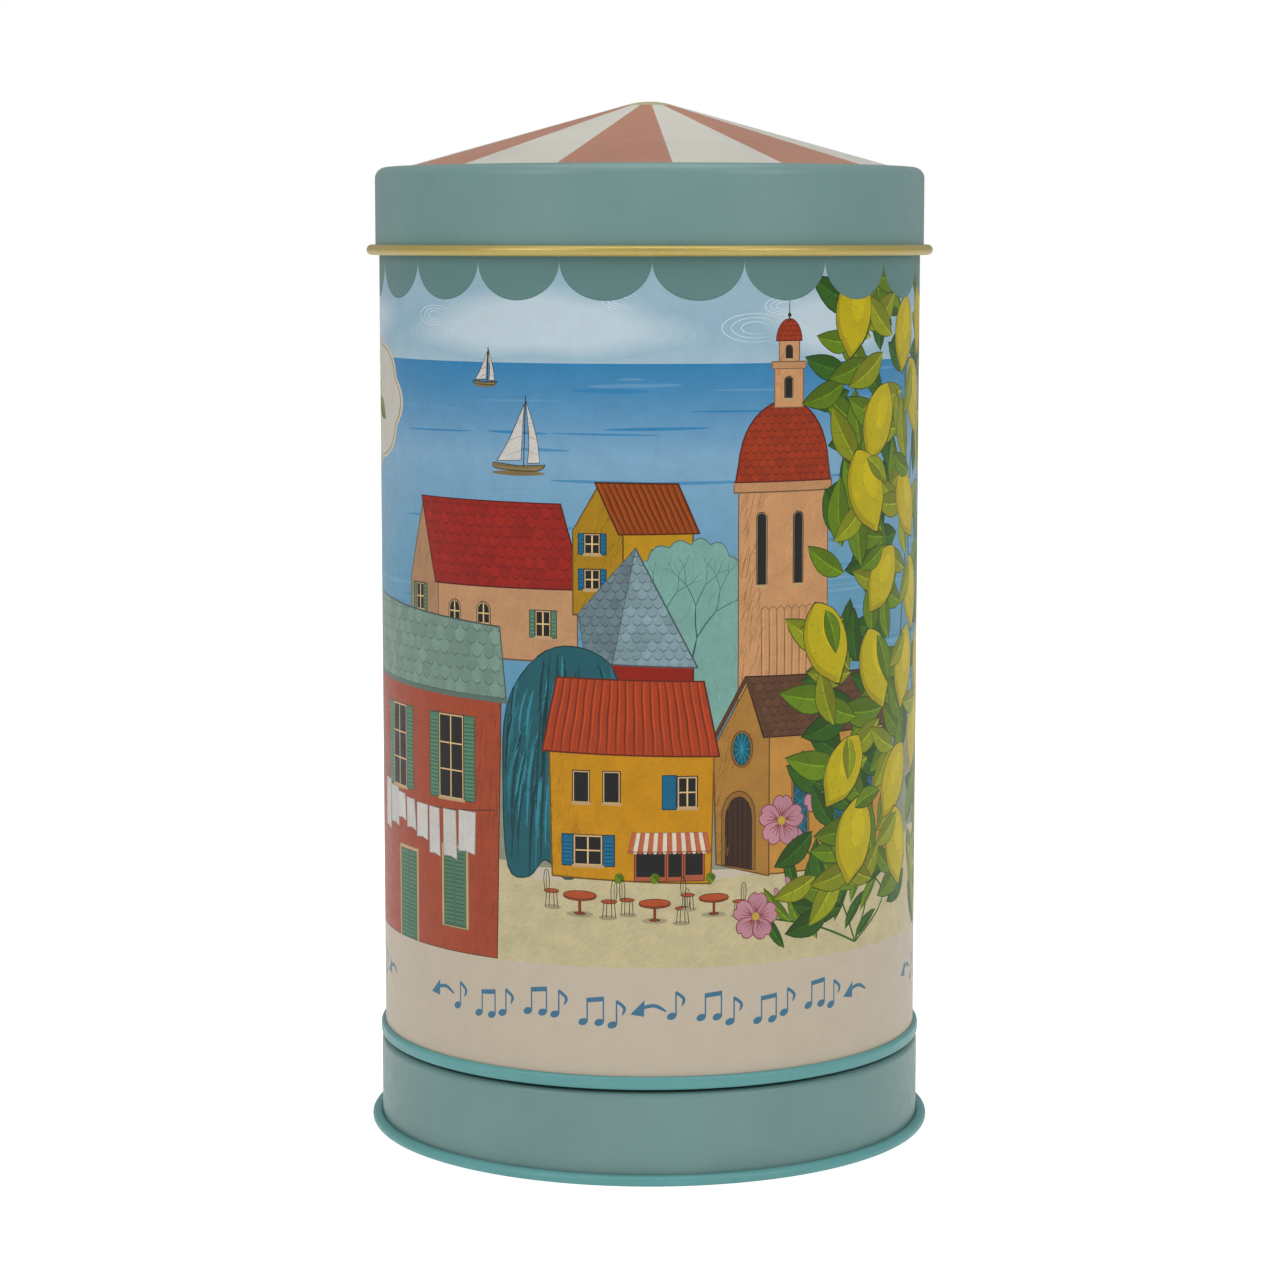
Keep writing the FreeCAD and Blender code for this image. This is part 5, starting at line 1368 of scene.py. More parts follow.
def church(art, inks):
    """A nave with its gable to the left: door, oval window, tall blue windows and a tiled roof."""
    ink, roof = tuple(inks.ochre), tuple(inks.church_tile)
    glass = linear("115566")
    wall(art, block(22.5, 58.5, 55, 86), tint(ink, 1.18))
    gable = wall(art, [(12.6, 61), (23.2, 58.2), (23.2, 84.5), (18.6, 94.6), (12.0, 83)], tint(ink, 0.9), 5.0)
    for step, u in enumerate((28.6, 38.0, 46.6)):
        tall = [(u, 65), (u + 3.0, 65), (u + 3.0, 78), (u + 1.5, 81), (u, 78)]
        drawn(
            art, [(x + (0.5 if x > u + 1 else -0.5), y + (0.5 if y > 70 else -0.5)) for x, y in tall],
            tint(ink, 0.7), 0.6, 0.16
        )
        pane = drawn(art, tall, glass, 0.5, 0.2)
        for n in range(6):
            z = 66 + n * 2.4
            stroke(art, [(u, z), (u + 3, z + 2.2)], 0.14, tint(glass, 2.4), within=pane)
            stroke(art, [(u, z + 2.2), (u + 3, z)], 0.14, tint(glass, 2.4), within=pane)
    arch = [(14.4, 60.8), (19.6, 59.6)] + [
        (17.0 + 2.6 * math.cos(t), 69.4 + 4.2 * math.sin(t))
        for t in (math.pi * n / 8 for n in range(9))
    ]
    drawn(
        art, [(17.0 + (x - 17.0) * 1.28, 59.6 + (y - 59.6) * 1.08) for x, y in arch], tint(ink, 0.62),
        0.8, 0.2
    )
    door = drawn(art, arch, tuple(inks.door), 0.8, 0.2)
    for n in range(5):
        stroke(art, [(14.8 + n, 60), (14.8 + n, 73)], 0.16, tint(tuple(inks.door), 0.4), within=door)
    drawn(art, oval(17.6, 82.6, 2.2, 3.5), tint(ink, 0.6), 0.6, 0.18)
    rose = drawn(art, oval(17.6, 82.6, 1.7, 3.0), glass, 0.6, 0.18)
    for n in range(6):
        t = math.pi * n / 6
        across, up = 1.7 * math.cos(t), 3 * math.sin(t)
        spoke = [(17.6 - across, 82.6 - up), (17.6 + across, 82.6 + up)]
        stroke(art, spoke, 0.16, tint(glass, 2.6), within=rose)
    tiled_roof(art, [(22.0, 84.6), (56, 84.2), (50, 95.6), (18.2, 96.2)], roof, wide=1.9, high=1.5)
    stroke(art, [(11.2, 83.0), (18.4, 95.9)], 0.9, tint(roof, 0.8))
    stroke(art, [(18.4, 95.9), (23.6, 84.4)], 0.9, tint(roof, 0.8))
    hatch(art, gable, (12, 60, 15, 90), tint(ink, 0.5), 90, 78, 3.0)


def russet_house(art, inks):
    """The tall house in the left foreground, with green shutters and a line of washing."""
    ink, green = tuple(inks.russet), tuple(inks.green_shutter)
    body = wall(art, [(-92, SHORE), (-30.5, SHORE), (-29.3, 93.5), (-92, 95.5)], ink)
    hatch(art, body, (-36.5, SHORE, -29.5, 93), tint(ink, 0.62), 260, 80, 3.6, 0.3)
    hatch(art, body, (-92, SHORE, -36, 93), tint(ink, 1.32), 420, 84, 2.8, 0.22)
    tiled_roof(
        art, [(-93, 93.2), (-28.2, 91.4), (-29.6, 105.0), (-93, 109.5)], tuple(inks.sage_tile), wide=2.9,
        high=2.5
    )
    stroke(art, [(-93, 92.8), (-28.0, 91.0)], 0.9, tint(tuple(inks.sage_tile), 0.55))
    for u in (-84.5, -64.4, -45.2):
        window(art, u, 71.5, 6.2, 15.5, inks, green, (2, 3))
    for u, z, wide, high in ((-44.2, 46.5, 6.0, 15.0), (-60.8, SHORE, 7.0, 17.5)):
        frame_block = block(u - 0.8, z - 0.4, u + wide + 0.8, z + high + 0.8)
        drawn(art, frame_block, tint(tuple(inks.trim), 0.85), 0.8, 0.2)
        for side in (0, 1):
            left = u + side * wide / 2
            door = drawn(art, block(left, z, left + wide / 2, z + high), green, 0.8, 0.2)
            for n in range(int(high / 0.8)):
                stroke(
                    art, [(left + 0.3, z + 0.4 + n * 0.8), (left + wide / 2 - 0.3, z + 0.4 + n * 0.8)],
                    0.22, tint(green, 0.5), within=door
                )
    washing(art, (-76, 72.5), (-31, 70.0), inks, 8)


def cafe_house(art, inks):
    """The mustard house in the middle, with a striped awning over its door."""
    body = wall(art, [(-18.6, 58.6), (11.6, 57.4), (12.2, 84), (-19.2, 84.6)], tuple(inks.mustard))
    hatch(art, body, (-19, 58, -13.5, 84), tint(tuple(inks.mustard), 0.68), 140, 76, 3.0, 0.28)
    ribbed_roof(art, [(-20.6, 82.2), (13.2, 81.4), (10.2, 95.6), (-17.6, 96.2)], tuple(inks.orange_tile), 19)
    for u in (-14.2, -8.4):
        window(art, u, 73.0, 2.6, 5.4, inks, None, (1, 1))
    window(art, 5.6, 72.2, 3.0, 5.2, inks, None, (2, 2))
    drawn(art, block(2.4, 71.6, 5.0, 78.0), tuple(inks.blue_shutter), 0.8, 0.2)
    window(art, -14.0, 61.2, 4.8, 5.0, inks, tuple(inks.blue_shutter), (2, 2))
    for left, right in ((-2.4, 2.8), (3.6, 6.0), (6.8, 10.0)):
        drawn(art, block(left - 0.4, 58.0, right + 0.4, 66.2), tint(tuple(inks.awning_red), 0.75), 0.7, 0.18)
        drawn(art, block(left, 58.9 if right < 7 else 59.2, right, 65.6), tuple(inks.glass), 0.3, 0.12)
    striped_awning(art, -4.0, 63.6, 15.6, 3.6, inks)
    for u in (-6.2, 0.5, 11.0):
        for n in range(5):
            leaf(art, u + 0.25 * n, 57.6, 2.0, 40 + 22 * n, tuple(inks.leaf), 0.6)


def square(art, inks):
    """Tables and chairs in front of the cafe."""
    for u, z, size in ((-13.2, 51.6, 1.4), (1.0, 50.6, 1.3), (12.2, 51.6, 1.25)):
        chair(art, u - 4.0 * size, z + 1.0, size * 1.15, 1, inks)
        chair(art, u + 4.0 * size, z - 0.6, size * 1.15, -1, inks)
        table(art, u, z, size, inks)


def fruit_and_leaves(art, centre, wide, low, high, inks, seed):
    """A hanging lemon bough: leaves in layers, then lemons, then a few leaves over them."""
    rand = random.Random(seed)

    def edge_at(z):
        """How far the bough's ragged side lies from its middle: it widens downwards."""
        return wide / 2 * (1.0 - 0.34 * (z - low) / (high - low) + 0.05 * math.sin(z / 7.0 + seed))

    greens = [tuple(inks.leaf_dark), tuple(inks.leaf), tuple(inks.leaf_light)]
    for u0, u1 in ((-0.05, 0.16), (0.2, -0.14)):
        twig = [(centre + wide * u0, high), (centre, (low + high) / 2 + 12), (centre + wide * u1, low + 8)]
        stroke(art, curve(twig, 6), 0.6, tint(tuple(inks.leaf_dark), 0.8))
    for green, count in ((0, 84), (1, 80), (2, 54)):
        for _ in range(int(count * (high - low) * wide / 5600)):
            z = rand.uniform(low, high)
            reach_here = edge_at(z)
            u = centre + rand.uniform(-reach_here, reach_here)
            way = 180 + rand.uniform(-75, 75) if u < centre else rand.uniform(-75, 75)
            leaf(art, u, z, rand.uniform(9.5, 14.0), way - 20, tint(greens[green], rand.uniform(0.85, 1.15)))
    fruit = []
    for _ in range(400):
        z = rand.uniform(low + 4, high - 2)
        u = centre + rand.uniform(-1, 1) * (edge_at(z) + 1.0)
        if all(math.dist((u, z), spot) > 12.4 for spot in fruit):
            fruit.append((u, z))
    for u, z in sorted(fruit, key=lambda spot: -spot[1]):
        lemon(art, u, z, rand.uniform(6.4, 7.6), -90 + rand.uniform(-38, 38), inks)
        if rand.random() < 0.75:
            way, green = rand.uniform(150, 390), greens[rand.choice((1, 2))]
            leaf(art, u + rand.uniform(-2, 2), z + 6, rand.uniform(8, 11), way, green)


def flowering_stems(art, u, z, inks, side=1):
    """Pink flowers on curving stems with narrow leaves and buds."""
    stem = tuple(inks.leaf_dark)
    heads = ((0.0, 4.6, 4.6), (5.4, 22.5, 4.9), (14.5, 27.0, 4.4), (20.5, 15.0, 3.4))
    for dx, dz, _ in heads:
        points = [(u + side * 24, z - 3), (u + side * (dx + 13), z + dz * 0.35), (u + side * dx, z + dz)]
        stroke(art, curve(points, 6), 0.42, stem)
    for n in range(15):
        x = u + side * (6 + 1.5 * n)
        leaf(
            art, x, z - 2 + (n * 5) % 12, 8.0 + n % 3, 118 - 7 * n + 20 * (n % 2),
            tuple(inks.leaf if n % 2 else inks.leaf_dark), 0.24
        )
    for dx, dz in ((4.5, 8.5), (7.0, 10.5), (9.5, 19.5)):
        drawn(
            art, oval(u + side * dx, z + dz, 0.6, 1.3, 20 * side, 8), tuple(inks.petal), 0.7, 0.16,
            tuple(inks.petal_heart)
        )
    for dx, dz, size in heads:
        flower(art, u + side * dx, z + dz, size, 14 * dx + 10, inks)


def far_side(art, inks):
    """More of the village, round the right and the back of the tin."""
    walls = [
        tuple(inks.peach), tuple(inks.mustard), tuple(inks.russet), tuple(inks.yellow), tuple(inks.ochre)
    ]
    roofs = [tuple(inks.red_tile), tuple(inks.orange_tile), tuple(inks.sage_tile), tuple(inks.brown_tile)]
    shutters = [tuple(inks.green_shutter), tuple(inks.blue_shutter)]
    row = [
        (104, 84, 30, 16), (129, 90, 26, 14), (150, 86, 27, 15), (-160, 88, 29, 15), (-132, 85, 26, 17),
        (-108, 90, 27, 13)
    ]
    for n, (u, z, wide, high) in enumerate(row):
        gabled(art, u, z, wide, high, 7.5, 10.5, walls[n % 5], roofs[(n + 1) % 4], n % 2 == 0)
        for k in range(2):
            window(
                art, u + 11.5 + 7.5 * k, z + high * 0.36, 2.6, high * 0.36, inks, shutters[(n + k) % 2],
                (2, 2)
            )
        window(art, u + 2.6, z + high * 0.4, 2.0, high * 0.3, inks, None, (1, 2), True)
    for n, (u, z, wide) in enumerate(((122, 84, 17), (146, 82, 15), (-138, 83, 18), (-101, 82, 15))):
        (pale_tree if n % 2 == 0 else weeping_tree)(art, u, z, wide, 27, inks, n + 2.0)
    near = [(96, 56, 31, 22), (136, 54, 33, 24), (-158, 56, 30, 21), (-122, 53, 27, 25)]
    for n, (u, z, wide, high) in enumerate(near):
        gabled(art, u, z, wide, high, 8.5, 12.5, walls[(n + 2) % 5], roofs[n % 4], n % 2 == 1)
        for k in range(2):
            window(art, u + 12.5 + 8.8 * k, z + high * 0.6, 3.2, 5.2, inks, shutters[(n + k + 1) % 2], (2, 2))
        window(art, u + 12.8, z + 3.4, 4.0, 5.6, inks, shutters[n % 2], (2, 2))
        window(art, u + 23.0, z + 0.6, 3.8, 9.0, inks, None, (2, 1), True)
        striped_awning(art, u + 21.2, z + 10.4, 7.4, 2.8, inks)
    for u in (131, 171, -126.5, -95):
        weeping_tree(art, u, 65, 12, 26, inks)
    for u, z in ((112, 48), (150, 47), (-146, 49)):
        chair(art, u - 4.4, z + 0.6, 1.1, 1, inks)
        chair(art, u + 4.4, z - 0.4, 1.1, -1, inks)
        table(art, u, z, 1.0, inks)
    for u, z, size in ((118, 133, 1.1), (158, 147, 0.6), (-150, 136, 1.0), (-118, 149, 0.55)):
        boat(art, u, z, size, inks)


def shore(art, inks):
    """Sandy ground with pencil grit."""
    half = art.around / 2
    ground = tuple(inks.ground)
    top = [
        (-half + 2 * half * n / 60, 61 + 3.2 * math.sin(n * 0.9) + 1.6 * math.sin(n * 2.3))
        for n in range(61)
    ]
    art.fill(block(-half, 60, half, 84.2), blend_inks(tuple(inks.dark_tree), ground, 0.45), 1.2)
    sand = art.fill([(-half, SHORE), (half, SHORE), *top[::-1]], ground, 1.1)
    for shade, lean in ((0.84, 8), (1.12, 172)):
        hatch(art, sand, (-half, SHORE, half, 64), tint(ground, shade), 1500, lean, 0.9, 0.2)


def awning_top(art, inks, around):
    """The scalloped awning under the lid, in the enamel's own colour."""
    ink = tuple(inks.scallop)
    radius = around / (2 * math.pi)
    cusp, foot = 173.5, 166.2
    first = FIRST_CUSP - (SCALLOPS // 2) * SCALLOP
    last = first + SCALLOPS * SCALLOP
    art.fill(block(first * radius, cusp - 0.02, last * radius, art.high), ink, 0.25)
    for n in range(SCALLOPS):
        middle, half = (first + (n + 0.5) * SCALLOP) * radius, SCALLOP * radius / 2
        bowl = [
            (middle - half * math.cos(t), cusp - (cusp - foot) * math.sin(t))
            for t in (math.pi * k / 24 for k in range(25))
        ]
        art.fill([(u, z - 0.22) for u, z in bowl], tint(ink, 0.82), 0.25)
        art.fill(bowl, ink, 0.25)
    strip = (last * radius, (first + 2 * math.pi) * radius)
    art.fill(block(strip[0], art.low, strip[1], art.high), linear("9c9a8c"), 0.3)
    for u in (strip[0] + 0.3, strip[1] - 0.3, sum(strip) / 2):
        stroke(art, [(u, art.low), (u, art.high)], 0.18, linear("6f6e64"))


def note(art, u, z, ink, paired):
    """One quaver, or two joined by a beam."""
    for x in (0.0, 3.1) if paired else (0.0,):
        art.fill(oval(u + x, z, 0.95, 0.68, 22, 12), ink, 0.3)
        stroke(art, [(u + x + 0.82, z + 0.1), (u + x + 0.82, z + 4.6)], 0.3, ink)
    if paired:
        art.fill(
            [(u + 0.66, z + 3.7), (u + 4.06, z + 4.1), (u + 4.06, z + 5.0), (u + 0.66, z + 4.6)], ink, 0.3
        )
    else:
        flag = curve([(u + 0.75, z + 4.6), (u + 2.3, z + 3.3), (u + 1.9, z + 1.9)], 4)
        stroke(art, flag, 0.62, ink, (1.0, 0.2))


def music_band(art, inks, radius):
    """Plain band with a row of arrows that show which way to turn, and notes between them."""
    half = art.around / 2
    art.fill(block(-half, art.low, half, SHORE), tuple(inks.band), 0.3)
    ink = tuple(inks.ornament)
    for centre in (0.0, 2 * half / 3, -2 * half / 3):
        for n in range(-8, 9):
            u = centre + 5.6 * n
            z = 31.4 + 0.9 * math.sin(n * 1.3)
            if n in (-8, 0, 8):
                shaft = [(u + 3.2, 33.2), (u + 1.0, 34.3), (u - 1.4, 33.9)]
                stroke(art, curve(shaft, 5), 0.7, ink, (0.4, 1.0))
                art.fill([(u - 3.6, 32.6), (u - 0.9, 35.4), (u - 1.0, 32.2)], ink, 0.3)
            else:
                note(art, u - 1.4, z, ink, n % 2 == 0)


def village_print(inks, radius, low, high):
    """The whole wrap, from the sky down to what stands in front."""
    art = Artwork(2 * math.pi * radius, low, high)
    half = art.around / 2
    art.fill(block(-half, low, half, high), tuple(inks.band), 0.3)
    sky_and_sea(art, inks)
    cartouche(art, -80, 146, inks)
    boat(art, -32.8, 150.5, 0.55, inks)
    boat(art, -25.5, 134.8, 1.1, inks)
    shore(art, inks)
    far_side(art, inks)
    peach_house(art, inks)
    yellow_house(art, inks)
    pale_tree(art, 8.5, 104, 24, 36, inks)
    pyramid_house(art, inks)
    bell_tower(art, inks)
    weeping_tree(art, -16.5, 80, 25, 44, inks)
    church(art, inks)
    russet_house(art, inks)
    cafe_house(art, inks)
    square(art, inks)
    flowering_stems(art, 20.5, 46, inks)
    fruit_and_leaves(art, 65, 64, 50, 174, inks, 5)
    fruit_and_leaves(art, -152, 20, 112, 172, inks, 9)
    awning_top(art, inks, art.around)
    music_band(art, inks, radius)
    return art


# ---------------------------------------------------------------- sections of the tinware


def lid_section(sizes):
    """Roof, shoulder, skirt and rolled edge, in one sheet: outside first, then back up the inside."""
    bottom, skirt = lid_levels(sizes)
    _, height = places("lid")
    apex, wall = float(height.max()), skirt - sizes.sheet
    shoulder = top_beyond("lid", sizes.roof_foot + 0.5 * MM)
    corner, slope = sizes.lid_corner, math.degrees(sizes.roof_angle)
    tip = (0.0, apex - sizes.tip - TINY)
    made = Section().coat(0).arc(tip, sizes.tip, 90, 90 - slope, 6)
    made.to((sizes.roof_foot, shoulder)).arc((skirt - corner, shoulder - corner), corner, 90, 0, 10)
    made.coat(1)
    outward_curl(made, wall, bottom, sizes)
    made.coat(2).arc((skirt - corner, shoulder - corner), corner - sizes.sheet, 0, 90, 10)
    made.to((sizes.roof_foot, shoulder - sizes.sheet)).arc(tip, sizes.tip - sizes.sheet, 90 - slope, 90, 6)
    return made


def lid_levels(sizes):
    """The lid's lowest level, and the outside of its skirt."""
    _, height = places("lid")
    bottom = float(height.min())
    return bottom, reach("lid", low=bottom + 3 * sizes.curl)


def wall_levels(sizes):
    """Outside of the canister wall, the top of its rolled mouth, and the middle of that roll."""
    _, height = places("body_wall")
    top = float(height.max())
    return reach("body_wall", low=top - 1.5 * sizes.rim_curl), top, top - sizes.rim_curl


def wall_section(sizes):
    """Flange, wall with room for the printed wrap, and a mouth that is rolled inwards."""
    outer, _, roll = wall_levels(sizes)
    _, height = places("body_wall")
    flange, inner, t = float(height.min()), outer - sizes.sheet, sizes.sheet
    centre, small = (outer - sizes.rim_curl, roll), sizes.rim_curl - sizes.sheet
    made = Section().coat(0).to((inner, flange), (reach("body_wall") - 1e-6, flange))
    made.to((reach("body_wall") - 1e-6, flange + t), (outer - 1.4 * sizes.skin, flange + t))
    made.to((outer - 1.4 * sizes.skin, roll - 0.02 * MM))
    made.arc(centre, sizes.rim_curl, 0, 310, 20).arc(centre, small, 310, 0, 20)
    return made


def seam_levels():
    """Lower and upper edge of the bottom seam."""
    radius, height = places("body_bottom")
    seam = height[radius > radius.max() - 1.0 * MM]
    return float(seam.min()), float(seam.max())


def bottom_section(sizes):
    """Domed bottom, recessed panel, and a rim folded round the flange of the wall."""
    outer, _, _ = wall_levels(sizes)
    low, high = seam_levels()
    radius, height = places("body_bottom")
    edge, dome_top = float(radius.max()), float(height.max())
    panel = float(height[radius > sizes.dome + 1.0 * MM].max())
    panel = max(panel, high)
    t, big, fold = sizes.sheet, sizes.seam_round, sizes.fold
    chuck, lip = outer - sizes.sheet - 0.05 * MM, outer + 0.05 * MM
    made = Section().coat(0).to((0.0, dome_top))
    made.arc((sizes.dome - fold, dome_top - fold), fold, 90, 0, 5).to((sizes.dome, panel))
    made.arc((chuck - fold, panel - fold), fold, 90, 0, 5).to((chuck, low + t))
    made.arc((edge - big, low + big), big - t, 270, 360, 6).arc((edge - big, high - big), big - t, 0, 90, 6)
    made.to((lip, high - t)).coat(1).to((lip, high))
    made.arc((edge - big, high - big), big, 90, 0, 8).arc((edge - big, low + big), big, 360, 270, 8)
    made.coat(0).to((chuck - t, low)).arc((chuck - fold, panel - fold), fold - t, 0, 90, 5)
    made.to((sizes.dome - t, panel - t)).arc((sizes.dome - fold, dome_top - fold), fold - t, 0, 90, 5)
    made.to((0.0, dome_top - t))
    return made


def base_section(sizes):
    """Rolled foot, skirt, rim and raised middle, open in the middle for the arbor."""
    radius, height = places("base_shell")
    skirt = reach("base_shell", low=4 * sizes.curl)
    raised = float(height.max())
    rim = top_beyond("base_shell", sizes.plateau + 1.5 * MM)
    hole = float(radius.min())
    t, corner, step, plateau = sizes.sheet, sizes.base_corner, sizes.step, sizes.plateau
    made = Section().coat(0).to((hole, raised))
    made.arc((plateau + t - step, raised - step), step, 90, 0, 6)
    made.arc((plateau + t + step, rim + step), step, 180, 270, 6)
    made.arc((skirt - corner, rim - corner), corner, 90, 0, 8).coat(1)
    outward_curl(made, skirt - t, float(height.min()), sizes, sizes.foot_flat)
    made.coat(2).arc((skirt - corner, rim - corner), corner - t, 0, 90, 8)
    made.arc((plateau + t + step, rim + step), step + t, 270, 180, 6)
    made.arc((plateau + t - step, raised - step), step - t, 0, 90, 6).to((hole, raised - t))
    return made


# ---------------------------------------------------------------- operators


class TIN_OT_lid(bpy.types.Operator):
    """Turns the lid with its striped roof, teal skirt and gold curl"""

    bl_idname = "tin.lid"
    bl_label = "Lid"

    def execute(self, context):
        sizes, inks = context.scene.tin_sizes, context.scene.tin_inks
        bottom, skirt = lid_levels(sizes)
        curl = lid_skirt_enamel(inks, bottom, sizes)
        roof = roof_enamel(inks, sizes)
        piece = turn("tin_lid", lid_section(sizes), [roof, curl, bare_tin("tin inside the lid")], sizes.steps)
        settle(piece, "lid", "lid_print", "lid")
        return {"FINISHED"}


class TIN_OT_canister(bpy.types.Operator):
    """Turns the canister wall with its rolled mouth and side seam, and the bottom with its seam"""

    bl_idname = "tin.canister"
    bl_label = "Canister"

    def execute(self, context):
        sizes, inks = context.scene.tin_sizes, context.scene.tin_inks
        tin = bare_tin("tin inside the canister")
        wall = turn("canister_wall", wall_section(sizes), [tin, tin, tin], sizes.steps)
        settle(wall, "canister", "body_print", "body_wall")
        settle(side_seam(sizes, tin), "canister", "body_print")
        # Painted highlight: the seam takes the brighter teal for the light that its rounded bead catches.
        seam = coated("seam enamel with painted highlight", tuple(inks.enamel_bright), rough=0.34)
        bottom = turn("canister_bottom", bottom_section(sizes), [tin, seam, tin], sizes.steps)
        settle(bottom, "canister", "seam_print", "body_bottom")
        return {"FINISHED"}


class TIN_OT_base(bpy.types.Operator):
    """Turns the base shell with its rolled foot"""

    bl_idname = "tin.base"
    bl_label = "Base"

    def execute(self, context):
        sizes, inks = context.scene.tin_sizes, context.scene.tin_inks
        skirt = coated("base enamel", tuple(inks.enamel))
        curl = base_skirt_with_painted_highlight(inks, sizes)
        tin = bare_tin("tin inside the base")
        piece = turn("tin_base", base_section(sizes), [skirt, curl, tin], sizes.steps)
        settle(piece, "base", "base_print", "base_shell")
        return {"FINISHED"}


class TIN_OT_wrap(bpy.types.Operator):
    """Prints the village wrap in four panels and rolls it round the canister"""

    bl_idname = "tin.wrap"
    bl_label = "Printed wrap"

    def execute(self, context):
        sizes, inks = context.scene.tin_sizes, context.scene.tin_inks
        outer, _, roll = wall_levels(sizes)
        _, seam_top = seam_levels()
        art = village_print(inks, outer / MM, seam_top / MM, roll / MM)
        ink = printed_ink()
        wide = 2 * math.pi / PANELS * outer / MM
        for n in range(PANELS):
            panel = roll_panel(f"print_{n + 1}", art, (n - 0.5) * wide, (n + 0.5) * wide, sizes, outer, ink)
            settle(panel, "canister", "body_print")
        return {"FINISHED"}


class TIN_OT_movement(bpy.types.Operator):
    """Gives the cover, the coupling and the comb movement their finishes"""

    bl_idname = "tin.movement"
    bl_label = "Movement and cover"

    def execute(self, context):
        made = movement_finishes()
        for name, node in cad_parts.items():
            if node.hide_render:
                continue
            slots = node.material_slots
            if not slots:
                raise RuntimeError(f"{name} has no material slot")
            for slot in slots:
                slot.link = "OBJECT"
                slot.material = made[FINISH_OF[name]]
        return {"FINISHED"}


FINISH_OF = {
    "base_cover": "cover", "hub_rivets": "steel", "coupling_hub": "zinc", "winding_arbor": "steel",
    "arbor_clip": "spring", "click_spring": "spring", "thrust_washer": "nylon", "bedplate": "zinc",
    "spring_housing": "plated", "spring_cover": "plated", "mainspring": "spring", "comb": "comb",
    "inner_bracket": "plated", "outer_bracket": "plated", "governor_frame": "brass", "endstone": "brass",
    "movement_screws": "plated", "comb_screws": "plated", "housing_screws": "plated",
    "bracket_screws": "plated", "drive_wheel": "brass", "cylinder_tube": "brass", "cylinder_caps": "brass",
    "cylinder_shaft": "steel", "note_pins": "steel", "cylinder_pinion": "brass", "cylinder_gear": "brass",
    "governor_shaft": "steel", "governor_pinion": "steel", "worm_wheel": "brass", "worm_spindle": "steel",
    "fan": "fan",
}


def movement_finishes():
    return {
        "cover": plastic("cover plastic", "3a3f40", 0.5),
        "nylon": plastic("nylon", "e4dfd0", 0.45, milk=0.3),
        "fan": plastic("fan plastic", "d8d2c2", 0.42, milk=0.2),
        "zinc": metal("die cast zinc", "9b9c98", 0.42, scale=900, relief=3e-6),
        "brass": metal("brass", "c8a04a", 0.24, lines=(1, 1, 0.1)),
        "steel": metal("turned steel", "a9a9a6", 0.22, lines=(0.1, 1, 1)),
        "comb": metal("ground steel", "b9bab8", 0.26, lines=(1, 0.06, 1)),
        "spring": metal("blued spring steel", "4b5664", 0.28, lines=(1, 1, 0.1)),
        "plated": metal("plated steel", "c3c3bb", 0.2, scale=800),
    }


class TIN_OT_stage(bpy.types.Operator):
    """Sets the pale floor, the soft studio light and the camera"""

    bl_idname = "tin.stage"
    bl_label = "Stage"

    def execute(self, context):
        scene, stage = context.scene, context.scene.tin_stage
        scene.view_settings.view_transform = "Standard"
        floor_mesh = bpy.data.meshes.new("floor")
        half = 4.0
        corners = [(x, y, 0.0) for x, y in ((-half, -half), (half, -half), (half, half), (-half, half))]
        floor_mesh.from_pydata(corners, [], [(0, 1, 2, 3)])
        floor = bpy.data.objects.new("floor", floor_mesh)
        paper = Finish("white paper")
        paper.surface(Base__Color=(0.93, 0.93, 0.93), Roughness=0.85, Specular__IOR__Level=0.1)
        seen = paper.node("ShaderNodeLightPath").outputs["Is Camera Ray"]
        paper.surface(Emission__Color=(1.0, 1.0, 1.0))
        paper.surface(Emission__Strength=paper.between(seen, 0.0, 1.0, stage.glow, stage.glow + 0.55))
        floor.data.materials.append(paper.material)
        scene.collection.objects.link(floor)
        scene.world = white_studio(stage.surround)
        softbox("key left", (-0.75, -0.65, 0.65), 0.6, stage.key)
        softbox("key right", (0.75, -0.65, 0.65), 0.6, stage.key)
        softbox("top", (0.0, -0.1, 1.1), 0.9, 1.6 * stage.key)
        camera_data = bpy.data.cameras.new("camera")
        camera_data.lens = stage.lens
        camera_data.sensor_width = 36.0
        camera = bpy.data.objects.new("camera", camera_data)
        camera.location = (0.0, -stage.distance, stage.height)
        camera.rotation_euler = (math.pi / 2 - stage.tilt, 0.0, stage.pan)
        scene.collection.objects.link(camera)
        scene.camera = camera
        return {"FINISHED"}


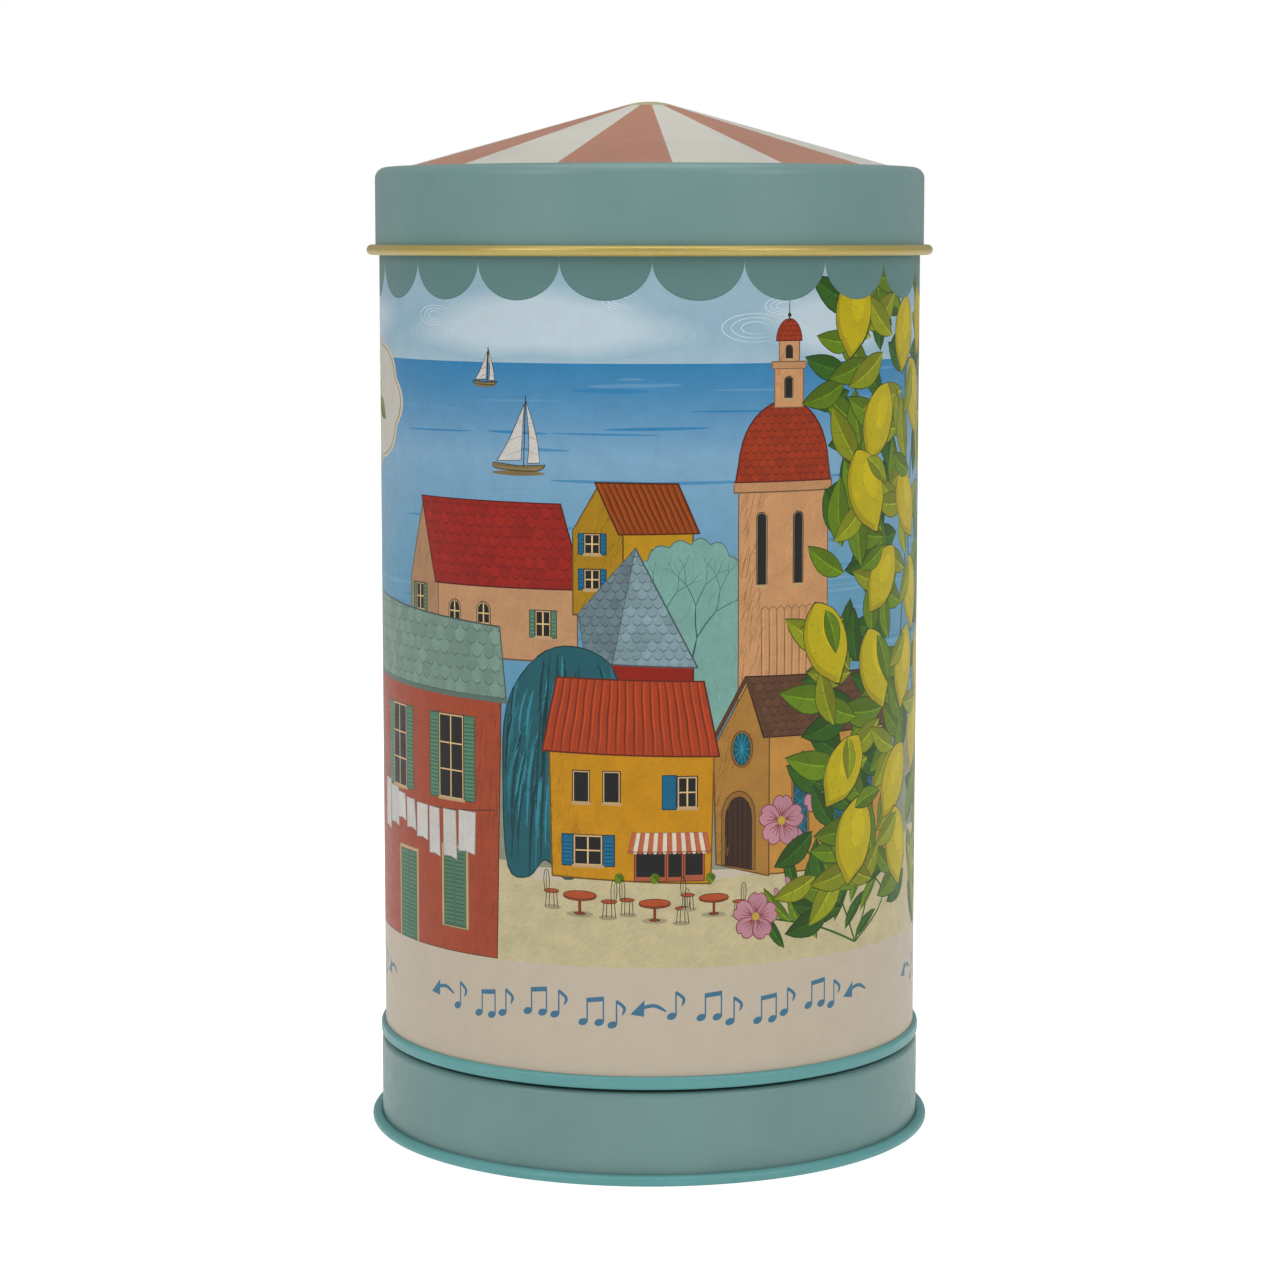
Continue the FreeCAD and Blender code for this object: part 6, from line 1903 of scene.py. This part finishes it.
def white_studio(surround):
    """A white cyclorama: full white where it is seen, and dimmer where it lights the tin."""
    world = bpy.data.worlds.new("studio")
    world.use_nodes = True
    nodes, links = world.node_tree.nodes, world.node_tree.links
    nodes["Background"].inputs["Color"].default_value = (1, 1, 1, 1)
    seen = nodes.new("ShaderNodeLightPath").outputs["Is Camera Ray"]
    level = nodes.new("ShaderNodeMapRange")
    level.inputs["To Min"].default_value = surround
    level.inputs["To Max"].default_value = 1.0
    links.new(seen, level.inputs["Value"])
    links.new(level.outputs["Result"], nodes["Background"].inputs["Strength"])
    return world


def softbox(name, spot, size, power):
    """A square light that looks at the middle of the tin."""
    data = bpy.data.lights.new(name, "AREA")
    data.shape, data.size, data.energy = "SQUARE", size, power
    light = bpy.data.objects.new(name, data)
    light.location = spot
    light.rotation_euler = (Vector((0, 0, 0.1)) - Vector(spot)).to_track_quat("-Z", "Y").to_euler()
    bpy.context.scene.collection.objects.link(light)


class TIN_PT_panel(bpy.types.Panel):
    """Lists the steps that build the tin"""

    bl_idname = "TIN_PT_panel"
    bl_label = "Musical tin"
    bl_space_type = "VIEW_3D"
    bl_region_type = "UI"
    bl_category = "Tin"

    def draw(self, context):
        for operator in OPERATORS:
            self.layout.operator(operator.bl_idname)
        for group in (context.scene.tin_sizes, context.scene.tin_stage, context.scene.tin_inks):
            column = self.layout.column()
            for name in group.bl_rna.properties.keys():
                if name not in {"rna_type", "name"}:
                    column.prop(group, name)


OPERATORS = (TIN_OT_stage, TIN_OT_lid, TIN_OT_canister, TIN_OT_base, TIN_OT_wrap, TIN_OT_movement)
GROUPS = {"tin_sizes": TinSizes, "tin_inks": TinInks, "tin_stage": TinStage}


def register():
    for kind in (*GROUPS.values(), *OPERATORS, TIN_PT_panel):
        bpy.utils.register_class(kind)
    for name, group in GROUPS.items():
        setattr(bpy.types.Scene, name, PointerProperty(type=group))


def unregister():
    for name in GROUPS:
        delattr(bpy.types.Scene, name)
    for kind in reversed((*GROUPS.values(), *OPERATORS, TIN_PT_panel)):
        bpy.utils.unregister_class(kind)


def main():
    register()
    for step in (
        bpy.ops.tin.stage, bpy.ops.tin.lid, bpy.ops.tin.canister, bpy.ops.tin.base, bpy.ops.tin.wrap,
        bpy.ops.tin.movement,
    ):
        step()


if __name__ == "__main__":
    main()
